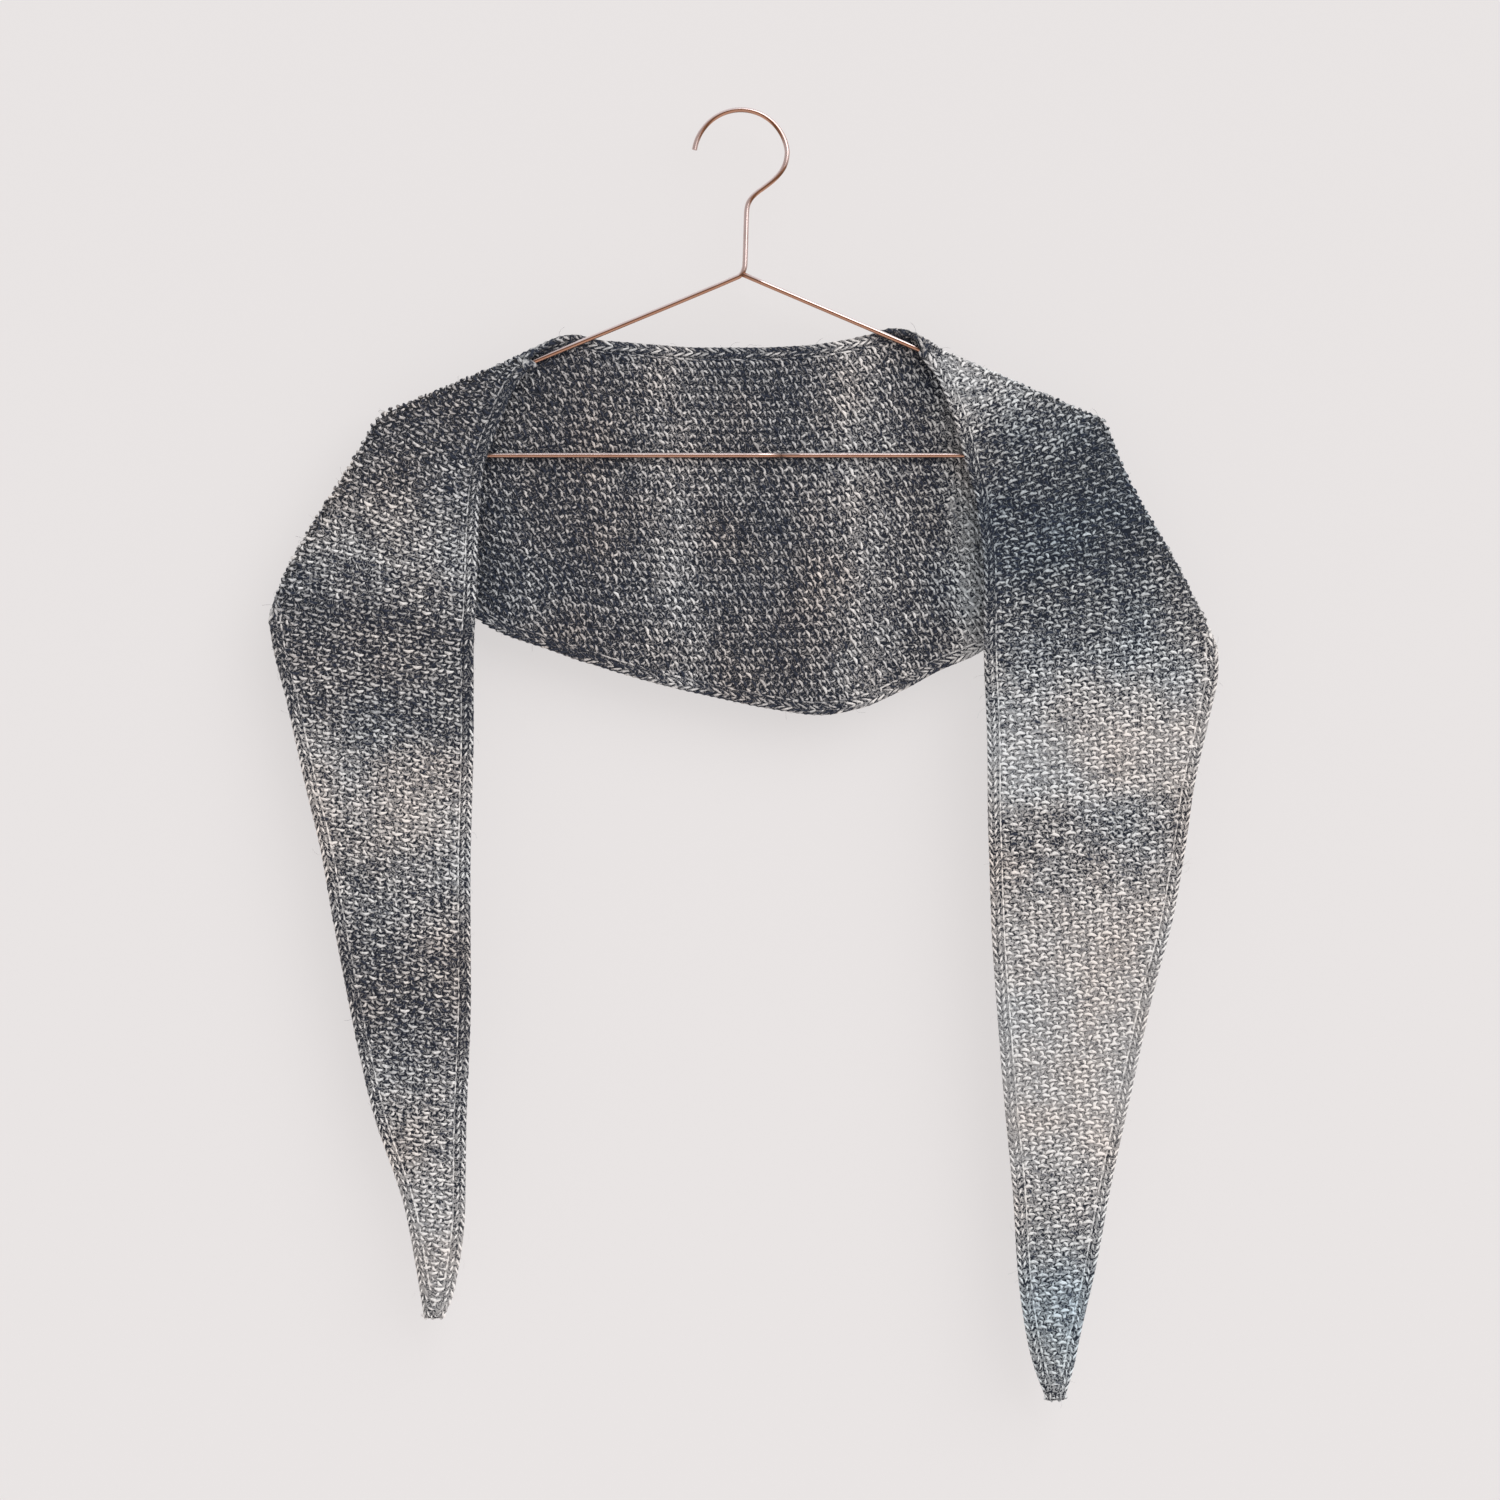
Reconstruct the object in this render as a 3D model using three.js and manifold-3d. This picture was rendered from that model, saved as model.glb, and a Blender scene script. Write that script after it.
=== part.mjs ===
// Triangle shawl knitted in moss stitch, hung over a bent wire hanger.
// Millimetres, +Z up, the front looks towards -Y. The origin is the inside top of the hook.
//
// The shawl is one long, low triangle. Its long edge runs up the inner side of the left tail,
// over the left arm, along the top of the back and down the inner side of the right tail.
// Each knitted row starts on that long edge and ends on one of the two short edges. "along" is
// the distance of a row from the left tip, measured on the long edge.

import * as THREE from "three";
import Module from "manifold-3d";
import { mergeVertices } from "three/addons/utils/BufferGeometryUtils.js";

// Cloth
const LONG_EDGE = 1402;
const WALL = 3.6;
const SEAM_GAP = 0.3;
const BORDER_WIDTH = 7;
const LEAST_PANEL = 2.2;
const FRONT_BULGE = 3;
const BACK_LIE = 5;
const TURNED_UNDER = { x: 10, z: -8 };

// Steps of the solids
const ROW_STEP = 14;
const CLOSE_ROW_STEP = 5;
const SHORTEST_STEP = 2;
const CLOSE_STRETCHES = [
  { from: 378, to: 404 },
  { from: 472, to: 512 },
  { from: 548, to: 606 },
  { from: 756, to: 812 },
  { from: 858, to: 896 },
  { from: 970, to: 998 },
];
const FRONT_COLUMNS = 5;
const BACK_COLUMNS = 6;
const TURN_COLUMNS = 3;
const TURN_SHARES = { least: 0.12, most: 0.88 };
const TURN_POINTS = 12;
const RUN_POINTS = 8;
const SLOPE_STEP = 0.5;

// Border: distance from the edge as a share of its width, and half its thickness there
const BORDER_PROFILE = [
  { share: 0, half: 0.9 },
  { share: 0.16, half: 1.8 },
  { share: 0.5, half: 2.1 },
  { share: 0.84, half: 1.9 },
  { share: 1, half: 1.5 },
];

// Wire hanger: one bent wire whose end is welded on at the apex of the frame
const WIRE_RADIUS = 1.5;
const WIRE_SIDES = 12;
const HOOK = { centreX: -3.6, centreZ: -25.5, radius: 27, startDegrees: 172, endDegrees: 4 };
const HOOK_STEPS = 14;
const NECK = [
  { x: 22.4, z: -29.2 },
  { x: 20.4, z: -33.4 },
  { x: 16.4, z: -38.2 },
  { x: 10.6, z: -42.8 },
  { x: 5.0, z: -46.8 },
  { x: 1.4, z: -50.6 },
  { x: -0.1, z: -55.2 },
  { x: -0.4, z: -60.5 },
  { x: -1.1, z: -87.4 },
  { x: -1.5, z: -90.2 },
  { x: -2.8, z: -93.0 },
  { x: -5.6, z: -95.6 },
];
const WELD = { x: -3.0, z: -93.3 };
const BAR_Z = -197.9;
const BAR_JOIN_X = 20;
const ARM_ENDS = {
  left: { x: -199.7, bend: 10.9, slopeDegrees: 22.34 },
  right: { x: 193.0, bend: 10.1, slopeDegrees: 23.07 },
};
const BEND_STEPS = 9;

const YARN_COLOUR = 0x7c7e80;
const EDGE_COLOUR = 0x8b8d8e;
const COPPER_COLOUR = 0xc98a6e;

// Tails. edge is the long edge, out its reach to the front, outer the short edge,
// and depth how far the short edge lies in front of the wire.
const TAIL_COLUMNS = ["along", "edgeX", "edgeZ", "out", "outerX", "outerZ", "depth"];

const LEFT_TAIL = [
  [0, -175.2, -694.3, 5.5, -185.6, -694.6, 5.5],
  [10, -170.6, -685.4, 6, -187.2, -686.0, 5.5],
  [22, -167.2, -673.0, 7, -189.4, -672.0, 5.5],
  [61, -162.2, -634.0, 9, -197.2, -631.0, 5],
  [113, -161.4, -583.0, 9.5, -215.0, -577.6, 4.5],
  [148, -160.0, -548.0, 9, -223.6, -541.5, 4.5],
  [188, -158.8, -508.0, 8.5, -232.0, -499.3, 5],
  [223, -159.0, -473.0, 9, -239.0, -462.0, 5.5],
  [257, -159.0, -439.0, 10, -245.2, -426.4, 5.5],
  [298, -158.0, -398.0, 11, -255.3, -383.8, 5],
  [340, -157.0, -356.0, 12, -265.2, -339.5, 4.5],
  [376, -157.0, -320.0, 12.5, -273.8, -303.6, 4.5],
];

// Distances of these rows are from the right tip.
const RIGHT_TAIL = [
  [0, 172.4, -742.0, 5.5, 182.6, -741.6, 5.5],
  [15, 165.6, -724.4, 6.5, 188.2, -722.4, 5.5],
  [31, 161.6, -709.4, 7.5, 191.5, -706.0, 5.5],
  [72, 155.8, -669.0, 9, 201.1, -664.1, 5],
  [118, 152.9, -622.9, 9.5, 210.0, -616.3, 4.5],
  [167, 148.3, -574.4, 9, 221.0, -566.0, 4.5],
  [223, 143.9, -518.4, 8.5, 233.8, -508.0, 5],
  [266, 140.9, -475.7, 9, 245.2, -464.6, 5.5],
  [307, 139.4, -434.8, 10, 252.6, -422.2, 5.5],
  [338, 138.4, -403.6, 11, 257.3, -389.5, 5],
  [376, 138.0, -365.0, 12, 266.0, -350.0, 4.5],
  [405, 136.9, -336.4, 12.5, 271.4, -320.4, 4.5],
];

// Shoulders. turn is where the cloth folds from the front to the back, radius the fold's,
// hem the short edge, and from and to say which part of the half turn the row takes.
const SHOULDER_COLUMNS = [
  "along", "edgeX", "edgeZ", "out", "turnX", "turnZ", "radius", "hemX", "hemZ", "from", "to",
];

const LEFT_SHOULDER = [
  [385, -157.0, -311.0, 12.5, -275.0, -292.8, 4.5, -270.0, -299.0, 0, 50],
  [392, -156.7, -304.0, 12.5, -271.8, -283.8, 4.5, -266.5, -290.5, 0, 110],
  [398, -156.4, -298.0, 13, -269.8, -276.1, 4.5, -265.0, -281.8, 0, 180],
  [408, -155.8, -288.0, 13, -264.8, -264.1, 4.5, -256.5, -274.5, 0, 180],
  [420, -155.4, -276.0, 13, -257.8, -251.1, 4.5, -243.5, -269.5, 0, 180],
  [430, -155.0, -266.0, 13, -251.5, -240.1, 4.5, -231.5, -266.0, 0, 180],
  [455, -154.3, -241.0, 13, -234.5, -213.7, 4.3, -206.5, -262.0, 0, 180],
  [479, -152.6, -216.5, 12.5, -218.5, -186.9, 4, -187.5, -263.0, 0, 180],
  [487, -151.6, -208.6, 12, -213.3, -177.5, 3.8, -180.5, -266.5, 0, 180],
  [492, -150.6, -204.0, 11.5, -207.0, -172.9, 3.8, -175.5, -269.5, 0, 180],
  [498, -149.2, -198.5, 11, -198.8, -169.7, 3.8, -170.0, -276.0, 0, 180],
  [520, -141.2, -178.0, 9, -173.8, -159.4, 3.8, -151.5, -295.0, 0, 180],
  [536, -135.0, -162.7, 7.5, -155.9, -152.0, 3.8, -138.0, -302.0, 0, 180],
  [556, -124.0, -145.8, 5, -134.4, -142.9, 4.3, -119.5, -308.2, 0, 180],
  [569, -118.0, -135.6, 4.5, -118.0, -135.2, 4.5, -107.5, -312.4, 60, 180],
  [581, -105.0, -129.6, 4.5, -105.0, -129.4, 4.5, -97.0, -316.3, 100, 180],
];

// Distances of these rows are from the right tip.
const RIGHT_SHOULDER = [
  [413, 136.5, -328.4, 12.5, 270.9, -311.4, 4.5, 267.0, -318.0, 0, 50],
  [421, 136.3, -320.4, 12.5, 266.8, -301.4, 4.5, 263.0, -307.0, 0, 110],
  [426, 136.1, -315.4, 13, 265.1, -296.1, 4.5, 260.6, -301.8, 0, 180],
  [430, 136.0, -311.4, 13, 263.0, -291.1, 4.5, 256.1, -299.7, 0, 180],
  [440, 135.9, -301.4, 13, 256.7, -279.6, 4.5, 245.0, -295.0, 0, 180],
  [450, 136.0, -291.3, 13, 250.8, -267.6, 4.5, 234.6, -290.4, 0, 180],
  [476, 135.9, -265.3, 13, 233.8, -237.9, 4.3, 210.5, -283.0, 0, 180],
  [500, 133.8, -241.0, 12.5, 218.6, -210.6, 4.1, 194.5, -276.5, 0, 180],
  [516, 131.8, -225.3, 12, 209.7, -188.8, 3.8, 186.0, -274.5, 0, 180],
  [526, 129.4, -215.7, 12, 205.0, -178.3, 3.8, 180.5, -276.0, 0, 180],
  [535, 127.0, -207.0, 11.5, 195.0, -173.6, 3.8, 174.0, -279.5, 0, 180],
  [549, 123.4, -193.9, 10.5, 177.8, -166.3, 3.8, 164.0, -289.0, 0, 180],
  [570, 117.7, -173.7, 8.5, 152.1, -155.3, 4.0, 148.0, -302.5, 0, 180],
  [592, 109.1, -153.2, 6.5, 126.4, -144.2, 4.2, 130.4, -314.0, 0, 180],
  [601, 103.4, -145.6, 5.5, 111.4, -137.4, 4.4, 122.0, -317.6, 0, 180],
  [607, 100.6, -140.4, 4.5, 104.7, -133.7, 4.5, 117.0, -319.6, 0, 180],
  [614, 98.0, -130.7, 4.5, 98.0, -129.6, 4.5, 111.0, -322.2, 55, 180],
  [625, 87.7, -125.6, 4.5, 87.7, -125.4, 4.5, 102.0, -327.0, 100, 180],
];

// Back panel: its top edge, the fold's radius there, its lower edge and the turn it takes.
const BACK_COLUMNS_NAMED = ["along", "turnX", "turnZ", "radius", "hemX", "hemZ", "from"];

const BACK = [
  [591, -95.6, -126.3, 4.5, -88.5, -318.7, 150],
  [604, -83.0, -126.9, 4.5, -76, -322.7, 180],
  [630, -57.4, -129.1, 4.3, -49, -330.4, 180],
  [661, -26.5, -131.3, 4.2, -17, -337.8, 180],
  [691, 3.5, -131.3, 4.2, 14, -344.2, 180],
  [720, 32.9, -130.1, 4.2, 43, -347.8, 180],
  [744, 56.6, -126.7, 4.3, 67, -343.5, 180],
  [758, 70.2, -123.5, 4.5, 84.5, -336, 180],
  [767, 78.6, -122.9, 4.5, 93, -332, 150],
];

const LEFT_FRONT = { from: 10, to: 552 };
const RIGHT_FRONT = { from: 803, to: 1393 };
const BACK_PANEL = { from: 405, to: 971 };
const LEFT_CROSSING = 569;
const RIGHT_CROSSING = 789;
const LEFT_WIDEST = 392;
const RIGHT_WIDEST = 981;

function named(columns, rows) {
  return rows.map((row) => Object.fromEntries(columns.map((name, i) => [name, row[i]])));
}

function tailSection(tail, side) {
  return {
    along: tail.along,
    edgeX: tail.edgeX,
    edgeZ: tail.edgeZ,
    out: tail.out,
    turnX: tail.outerX,
    turnZ: tail.outerZ,
    radius: tail.depth,
    hemX: tail.outerX + side * TURNED_UNDER.x,
    hemZ: tail.outerZ + TURNED_UNDER.z,
    from: 0,
    to: 0,
  };
}

function backSection(back) {
  return { ...back, edgeX: back.turnX, edgeZ: back.turnZ, out: back.radius, to: 180 };
}

function fromRightTip(section) {
  return { ...section, along: LONG_EDGE - section.along };
}

function clothSections() {
  const leftTail = named(TAIL_COLUMNS, LEFT_TAIL).map((row) => tailSection(row, 1));
  const leftShoulder = named(SHOULDER_COLUMNS, LEFT_SHOULDER);
  const back = named(BACK_COLUMNS_NAMED, BACK).map(backSection);
  const rightShoulder = named(SHOULDER_COLUMNS, RIGHT_SHOULDER).map(fromRightTip).reverse();
  const rightTail = named(TAIL_COLUMNS, RIGHT_TAIL)
    .map((row) => fromRightTip(tailSection(row, -1)))
    .reverse();
  return [...leftTail, ...leftShoulder, ...back, ...rightShoulder, ...rightTail];
}

// Slopes of a smooth curve through the sections that never runs past them.
function steadySlopes(at, values) {
  const steps = at.slice(1).map((x, i) => (values[i + 1] - values[i]) / (x - at[i]));
  return at.map((_, i) => {
    const before = steps[Math.max(i - 1, 0)];
    const after = steps[Math.min(i, steps.length - 1)];
    return before * after <= 0 ? 0 : (2 * before * after) / (before + after);
  });
}

function smoothColumn(sections, name) {
  const at = sections.map((section) => section.along);
  const values = sections.map((section) => section[name]);
  const slopes = steadySlopes(at, values);
  return (along) => {
    const next = at.findIndex((x) => x > along);
    const i = Math.min(Math.max(next < 0 ? at.length - 2 : next - 1, 0), at.length - 2);
    const span = at[i + 1] - at[i];
    const t = THREE.MathUtils.clamp((along - at[i]) / span, 0, 1);
    const rise = (3 - 2 * t) * t * t;
    const lead = t * (1 - t) * (1 - t) * span * slopes[i];
    const trail = t * t * (1 - t) * span * slopes[i + 1];
    return values[i] + (values[i + 1] - values[i]) * rise + lead - trail;
  };
}

function smoothSections(sections) {
  const names = Object.keys(sections[0]).filter((name) => name !== "along");
  const curves = names.map((name) => smoothColumn(sections, name));
  return (along) => Object.fromEntries(names.map((name, i) => [name, curves[i](along)]));
}

const sectionAt = smoothSections(clothSections());

function flat(x, z) {
  return new THREE.Vector2(x, z);
}

function place(point, y) {
  return new THREE.Vector3(point.x, y, point.y);
}

// The direction that points out of the cloth, square to the line of the folds.
function outwardAt(along) {
  const before = sectionAt(Math.max(along - SLOPE_STEP, 0));
  const after = sectionAt(Math.min(along + SLOPE_STEP, LONG_EDGE));
  const run = flat(after.turnX - before.turnX, after.turnZ - before.turnZ).normalize();
  return flat(-run.y, run.x);
}

// The ends of a row's half turn in the plane of the hanger.
function turnEnds(section, outward) {
  const turn = flat(section.turnX, section.turnZ);
  const edge = flat(section.edgeX, section.edgeZ);
  const hem = flat(section.hemX, section.hemZ);
  const fullness = Math.sin(THREE.MathUtils.degToRad(Math.min(section.to, 90)));
  const depth = section.radius * fullness;
  const leave = hem.clone().sub(turn).normalize();
  const back = turn.clone().addScaledVector(leave, -depth / leave.dot(outward));
  if (section.from > 0) {
    const centre = turn.clone().addScaledVector(outward, -depth);
    return { front: centre.multiplyScalar(2).sub(back), back };
  }
  const reach = turn.clone().sub(edge).normalize();
  const front = turn.clone().addScaledVector(reach, -depth / reach.dot(outward));
  return { front, back };
}

function frontRun(section, front) {
  const edge = flat(section.edgeX, section.edgeZ);
  const points = [];
  for (let i = 0; i < RUN_POINTS; i += 1) {
    const share = i / RUN_POINTS;
    const bulge = FRONT_BULGE * Math.sin(Math.PI * share) ** 2;
    const out = THREE.MathUtils.lerp(section.out, section.radius, share) + bulge;
    points.push(place(edge.clone().lerp(front, share), -out));
  }
  return points;
}

function halfTurn(section, ends, outward) {
  const points = [];
  for (let i = 0; i <= TURN_POINTS; i += 1) {
    const degrees = THREE.MathUtils.lerp(section.from, section.to, i / TURN_POINTS);
    const angle = THREE.MathUtils.degToRad(degrees);
    const base = ends.front.clone().lerp(ends.back, degrees / 180);
    base.addScaledVector(outward, section.radius * Math.sin(angle));
    points.push(place(base, -section.radius * Math.cos(angle)));
  }
  return points;
}

function backRun(section, back) {
  const hem = flat(section.hemX, section.hemZ);
  const points = [];
  for (let i = 1; i <= RUN_POINTS; i += 1) {
    const share = i / RUN_POINTS;
    const y = THREE.MathUtils.lerp(section.radius, BACK_LIE, share);
    points.push(place(back.clone().lerp(hem, share), y));
  }
  return points;
}

// One knitted row from the long edge to the short edge, with its length up to each point,
// its length where it passes the fold's outermost line, and how much it has turned there.
function rowAt(along) {
  const section = sectionAt(along);
  const outward = outwardAt(along);
  const ends = turnEnds(section, outward);
  const front = section.from > 0 ? [] : frontRun(section, ends.front);
  const turn = section.to > 0 && section.from < 180 ? halfTurn(section, ends, outward) : [];
  const start = section.from >= 180 ? [place(ends.back, section.radius)] : [];
  const end = section.to <= 0 ? [place(ends.front, -section.radius)] : [];
  const back = section.to >= 180 ? backRun(section, ends.back) : [];
  const points = [...front, ...turn, ...start, ...end, ...back];
  const lengths = [0];
  for (let i = 1; i < points.length; i += 1) {
    lengths.push(lengths[i - 1] + points[i].distanceTo(points[i - 1]));
  }
  const last = lengths.length - 1;
  return {
    points,
    lengths,
    length: lengths[last],
    turnStart: lengths[Math.min(front.length, last)],
    turnEnd: lengths[last - back.length],
    crest: crestLength(section, front, lengths),
    turned: Math.min(section.to / 90, 1),
  };
}

function crestLength(section, front, lengths) {
  if (section.from >= 90) {
    return 0;
  }
  if (section.to <= 90) {
    return lengths.at(-1);
  }
  const step = ((90 - section.from) / (section.to - section.from)) * TURN_POINTS;
  const before = front.length + Math.floor(step);
  const after = Math.min(before + 1, lengths.length - 1);
  return THREE.MathUtils.lerp(lengths[before], lengths[after], step % 1);
}

function pointOnRow(row, distance) {
  const wanted = THREE.MathUtils.clamp(distance, 0, row.length);
  const next = row.lengths.findIndex((length) => length > wanted);
  const i = next < 0 ? row.points.length - 1 : Math.max(next, 1);
  const span = row.lengths[i] - row.lengths[i - 1];
  const share = span > 0 ? (wanted - row.lengths[i - 1]) / span : 1;
  return row.points[i - 1].clone().lerp(row.points[i], share);
}

function stepAt(along) {
  const close = CLOSE_STRETCHES.some(({ from, to }) => along >= from && along < to);
  return close ? CLOSE_ROW_STEP : ROW_STEP;
}

// Rows at which the solids bend: the ends of every stretch, and steps between them.
function sharedStations() {
  const stretches = [LEFT_FRONT, RIGHT_FRONT, BACK_PANEL];
  const crossings = [LEFT_CROSSING, RIGHT_CROSSING, LEFT_WIDEST, RIGHT_WIDEST];
  const ends = [...stretches.flatMap(({ from, to }) => [from, to]), ...crossings];
  const stations = [...ends];
  for (let along = ROW_STEP; along < LONG_EDGE; along += stepAt(along)) {
    if (ends.every((end) => Math.abs(end - along) > SHORTEST_STEP)) {
      stations.push(along);
    }
  }
  return stations.sort((a, b) => a - b);
}

const STATIONS = sharedStations();

// Neighbouring stretches share their stations, so that both bend at the same rows.
function stationsBetween(from, to) {
  const inside = STATIONS.filter((along) => along > from + SEAM_GAP && along < to - SEAM_GAP);
  return [from, ...inside, to];
}

// The border narrows at the tips, where a row is too short for two of them.
function borderWidth(row) {
  return Math.min(BORDER_WIDTH, (row.length - SEAM_GAP) / 2);
}

// Panel columns on both sides of a knot, which is where the row starts or ends its turn.
function panelColumns(start, knot, end, countBefore, countAfter) {
  const least = THREE.MathUtils.lerp(start, end, TURN_SHARES.least);
  const most = THREE.MathUtils.lerp(start, end, TURN_SHARES.most);
  const middle = THREE.MathUtils.clamp(knot, least, most);
  const columns = [];
  for (let i = 0; i < countBefore; i += 1) {
    columns.push({ distance: THREE.MathUtils.lerp(start, middle, i / countBefore), half: WALL / 2 });
  }
  for (let i = 0; i <= countAfter; i += 1) {
    columns.push({ distance: THREE.MathUtils.lerp(middle, end, i / countAfter), half: WALL / 2 });
  }
  return columns;
}

// Where a tail hangs straight its columns are evenly spaced.
function frontColumns(row) {
  const start = BORDER_WIDTH + SEAM_GAP;
  const beforeBorder = row.length - BORDER_WIDTH - SEAM_GAP;
  const end = Math.max(Math.min(row.crest - SEAM_GAP / 2, beforeBorder), start + LEAST_PANEL);
  const even = THREE.MathUtils.lerp(start, end, FRONT_COLUMNS / (FRONT_COLUMNS + TURN_COLUMNS));
  const knot = THREE.MathUtils.lerp(even, row.turnStart, row.turned);
  return panelColumns(start, knot, end, FRONT_COLUMNS, TURN_COLUMNS);
}

function backPanelColumns(row) {
  const start = Math.max(row.crest + SEAM_GAP / 2, BORDER_WIDTH + SEAM_GAP);
  const end = Math.max(row.length - BORDER_WIDTH - SEAM_GAP, start + LEAST_PANEL);
  return panelColumns(start, row.turnEnd, end, TURN_COLUMNS, BACK_COLUMNS);
}

function longEdgeColumns(row) {
  const width = borderWidth(row);
  return BORDER_PROFILE.map(({ share, half }) => ({ distance: share * width, half }));
}

function shortEdgeColumns(row) {
  const width = borderWidth(row);
  return BORDER_PROFILE.map(({ share, half }) => ({
    distance: row.length - share * width,
    half,
  })).reverse();
}

// The cloth's middle surface at the stations and columns asked for, with its normals.
function clothGrid(stations, columnsOf) {
  return stations.map((along) => {
    const row = rowAt(along);
    const before = rowAt(Math.max(along - SLOPE_STEP, 0));
    const after = rowAt(Math.min(along + SLOPE_STEP, LONG_EDGE));
    return columnsOf(row).map(({ distance, half }) => {
      const share = distance / row.length;
      const run = pointOnRow(after, share * after.length);
      run.sub(pointOnRow(before, share * before.length));
      const across = pointOnRow(row, distance + SLOPE_STEP);
      across.sub(pointOnRow(row, distance - SLOPE_STEP));
      const normal = run.cross(across).normalize();
      return { middle: pointOnRow(row, distance), normal, half };
    });
  });
}

// A closed wall over a grid of middle points.
function wallGeometry(grid) {
  const rows = grid.length;
  const columns = grid[0].length;
  const faces = [1, -1].flatMap((side) =>
    grid.flat().map(({ middle, normal, half }) => {
      return middle.clone().addScaledVector(normal, side * half);
    }),
  );
  const top = (i, j) => i * columns + j;
  const bottom = (i, j) => rows * columns + top(i, j);
  const index = [];
  const quad = (a, b, c, d) => index.push(a, b, c, a, c, d);
  for (let i = 0; i < rows - 1; i += 1) {
    const last = columns - 1;
    quad(top(i, 0), bottom(i, 0), bottom(i + 1, 0), top(i + 1, 0));
    quad(top(i, last), top(i + 1, last), bottom(i + 1, last), bottom(i, last));
  }
  for (let j = 0; j < columns - 1; j += 1) {
    const last = rows - 1;
    quad(top(0, j), top(0, j + 1), bottom(0, j + 1), bottom(0, j));
    quad(top(last, j), bottom(last, j), bottom(last, j + 1), top(last, j + 1));
  }
  for (let i = 0; i < rows - 1; i += 1) {
    for (let j = 0; j < columns - 1; j += 1) {
      quad(top(i, j), top(i + 1, j), top(i + 1, j + 1), top(i, j + 1));
      quad(bottom(i, j), bottom(i, j + 1), bottom(i + 1, j + 1), bottom(i + 1, j));
    }
  }
  return new THREE.BufferGeometry().setFromPoints(faces).setIndex(index);
}

function stretchOfCloth(from, to, columnsOf) {
  return wallGeometry(clothGrid(stationsBetween(from, to), columnsOf));
}

// A wire that passes straight from each of its stations to the next.
class BentWire extends THREE.Curve {
  constructor(stations) {
    super();
    this.stations = stations.map(({ x, z }) => new THREE.Vector3(x, 0, z));
    this.steps = stations.length - 1;
  }

  getPointAt(share) {
    return this.stations[Math.round(share * this.steps)].clone();
  }

  getTangentAt(share) {
    const i = Math.round(share * this.steps);
    const before = this.stations[Math.max(i - 1, 0)];
    const here = this.stations[i];
    const after = this.stations[Math.min(i + 1, this.steps)];
    const arrive = here.clone().sub(before).normalize();
    const leave = after.clone().sub(here).normalize();
    return arrive.add(leave).normalize();
  }
}

function hookStations() {
  return Array.from({ length: HOOK_STEPS + 1 }, (_, i) => {
    const degrees = THREE.MathUtils.lerp(HOOK.startDegrees, HOOK.endDegrees, i / HOOK_STEPS);
    const angle = THREE.MathUtils.degToRad(degrees);
    return {
      x: HOOK.centreX + HOOK.radius * Math.cos(angle),
      z: HOOK.centreZ + HOOK.radius * Math.sin(angle),
    };
  });
}

// The bend at the end of an arm, from the arm round to the lower bar.
function bendStations(end, side) {
  const start = Math.PI / 2 - THREE.MathUtils.degToRad(end.slopeDegrees);
  return Array.from({ length: BEND_STEPS + 1 }, (_, i) => {
    const angle = THREE.MathUtils.lerp(start, -Math.PI / 2, i / BEND_STEPS);
    return {
      x: end.x + side * end.bend * Math.cos(angle),
      z: BAR_Z + end.bend + end.bend * Math.sin(angle),
    };
  });
}

function wireGeometry(stations) {
  const path = new BentWire(stations);
  const section = new THREE.Shape().absarc(0, 0, WIRE_RADIUS, 0, 2 * Math.PI);
  const sweep = { extrudePath: path, steps: path.steps, curveSegments: WIRE_SIDES / 2 };
  const geometry = new THREE.ExtrudeGeometry(section, sweep);
  geometry.deleteAttribute("normal");
  geometry.deleteAttribute("uv");
  return mergeVertices(geometry);
}

const wasm = await Module();
wasm.setup();

function solidFrom(geometry) {
  const vertProperties = geometry.getAttribute("position").array;
  const triVerts = new Uint32Array(geometry.index.array);
  return new wasm.Manifold(new wasm.Mesh({ numProp: 3, vertProperties, triVerts }));
}

function geometryFrom(solid) {
  const { vertProperties, triVerts } = solid.getMesh();
  const positions = new THREE.BufferAttribute(vertProperties, 3);
  const index = new THREE.BufferAttribute(triVerts, 1);
  return new THREE.BufferGeometry().setAttribute("position", positions).setIndex(index);
}

function hangerGeometry() {
  const barMiddle = { x: BAR_JOIN_X, z: BAR_Z };
  const left = [...hookStations(), ...NECK, ...bendStations(ARM_ENDS.left, -1), barMiddle];
  const right = [WELD, ...bendStations(ARM_ENDS.right, 1), barMiddle].reverse();
  return geometryFrom(solidFrom(wireGeometry(left)).add(solidFrom(wireGeometry(right))));
}

function namedMesh(name, geometry, material) {
  geometry.computeVertexNormals();
  const mesh = new THREE.Mesh(geometry, material);
  mesh.name = name;
  return mesh;
}

function knit(color) {
  return new THREE.MeshStandardMaterial({ color, roughness: 0.95, metalness: 0 });
}

function copper() {
  return new THREE.MeshStandardMaterial({ color: COPPER_COLOUR, roughness: 0.25, metalness: 1 });
}

function panels() {
  return [
    ["left_tail", LEFT_FRONT.from, LEFT_FRONT.to, frontColumns],
    ["right_tail", RIGHT_FRONT.from, RIGHT_FRONT.to, frontColumns],
    ["back_panel", BACK_PANEL.from, BACK_PANEL.to, backPanelColumns],
  ].map(([name, from, to, columnsOf]) => {
    return namedMesh(name, stretchOfCloth(from, to, columnsOf), knit(YARN_COLOUR));
  });
}

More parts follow.
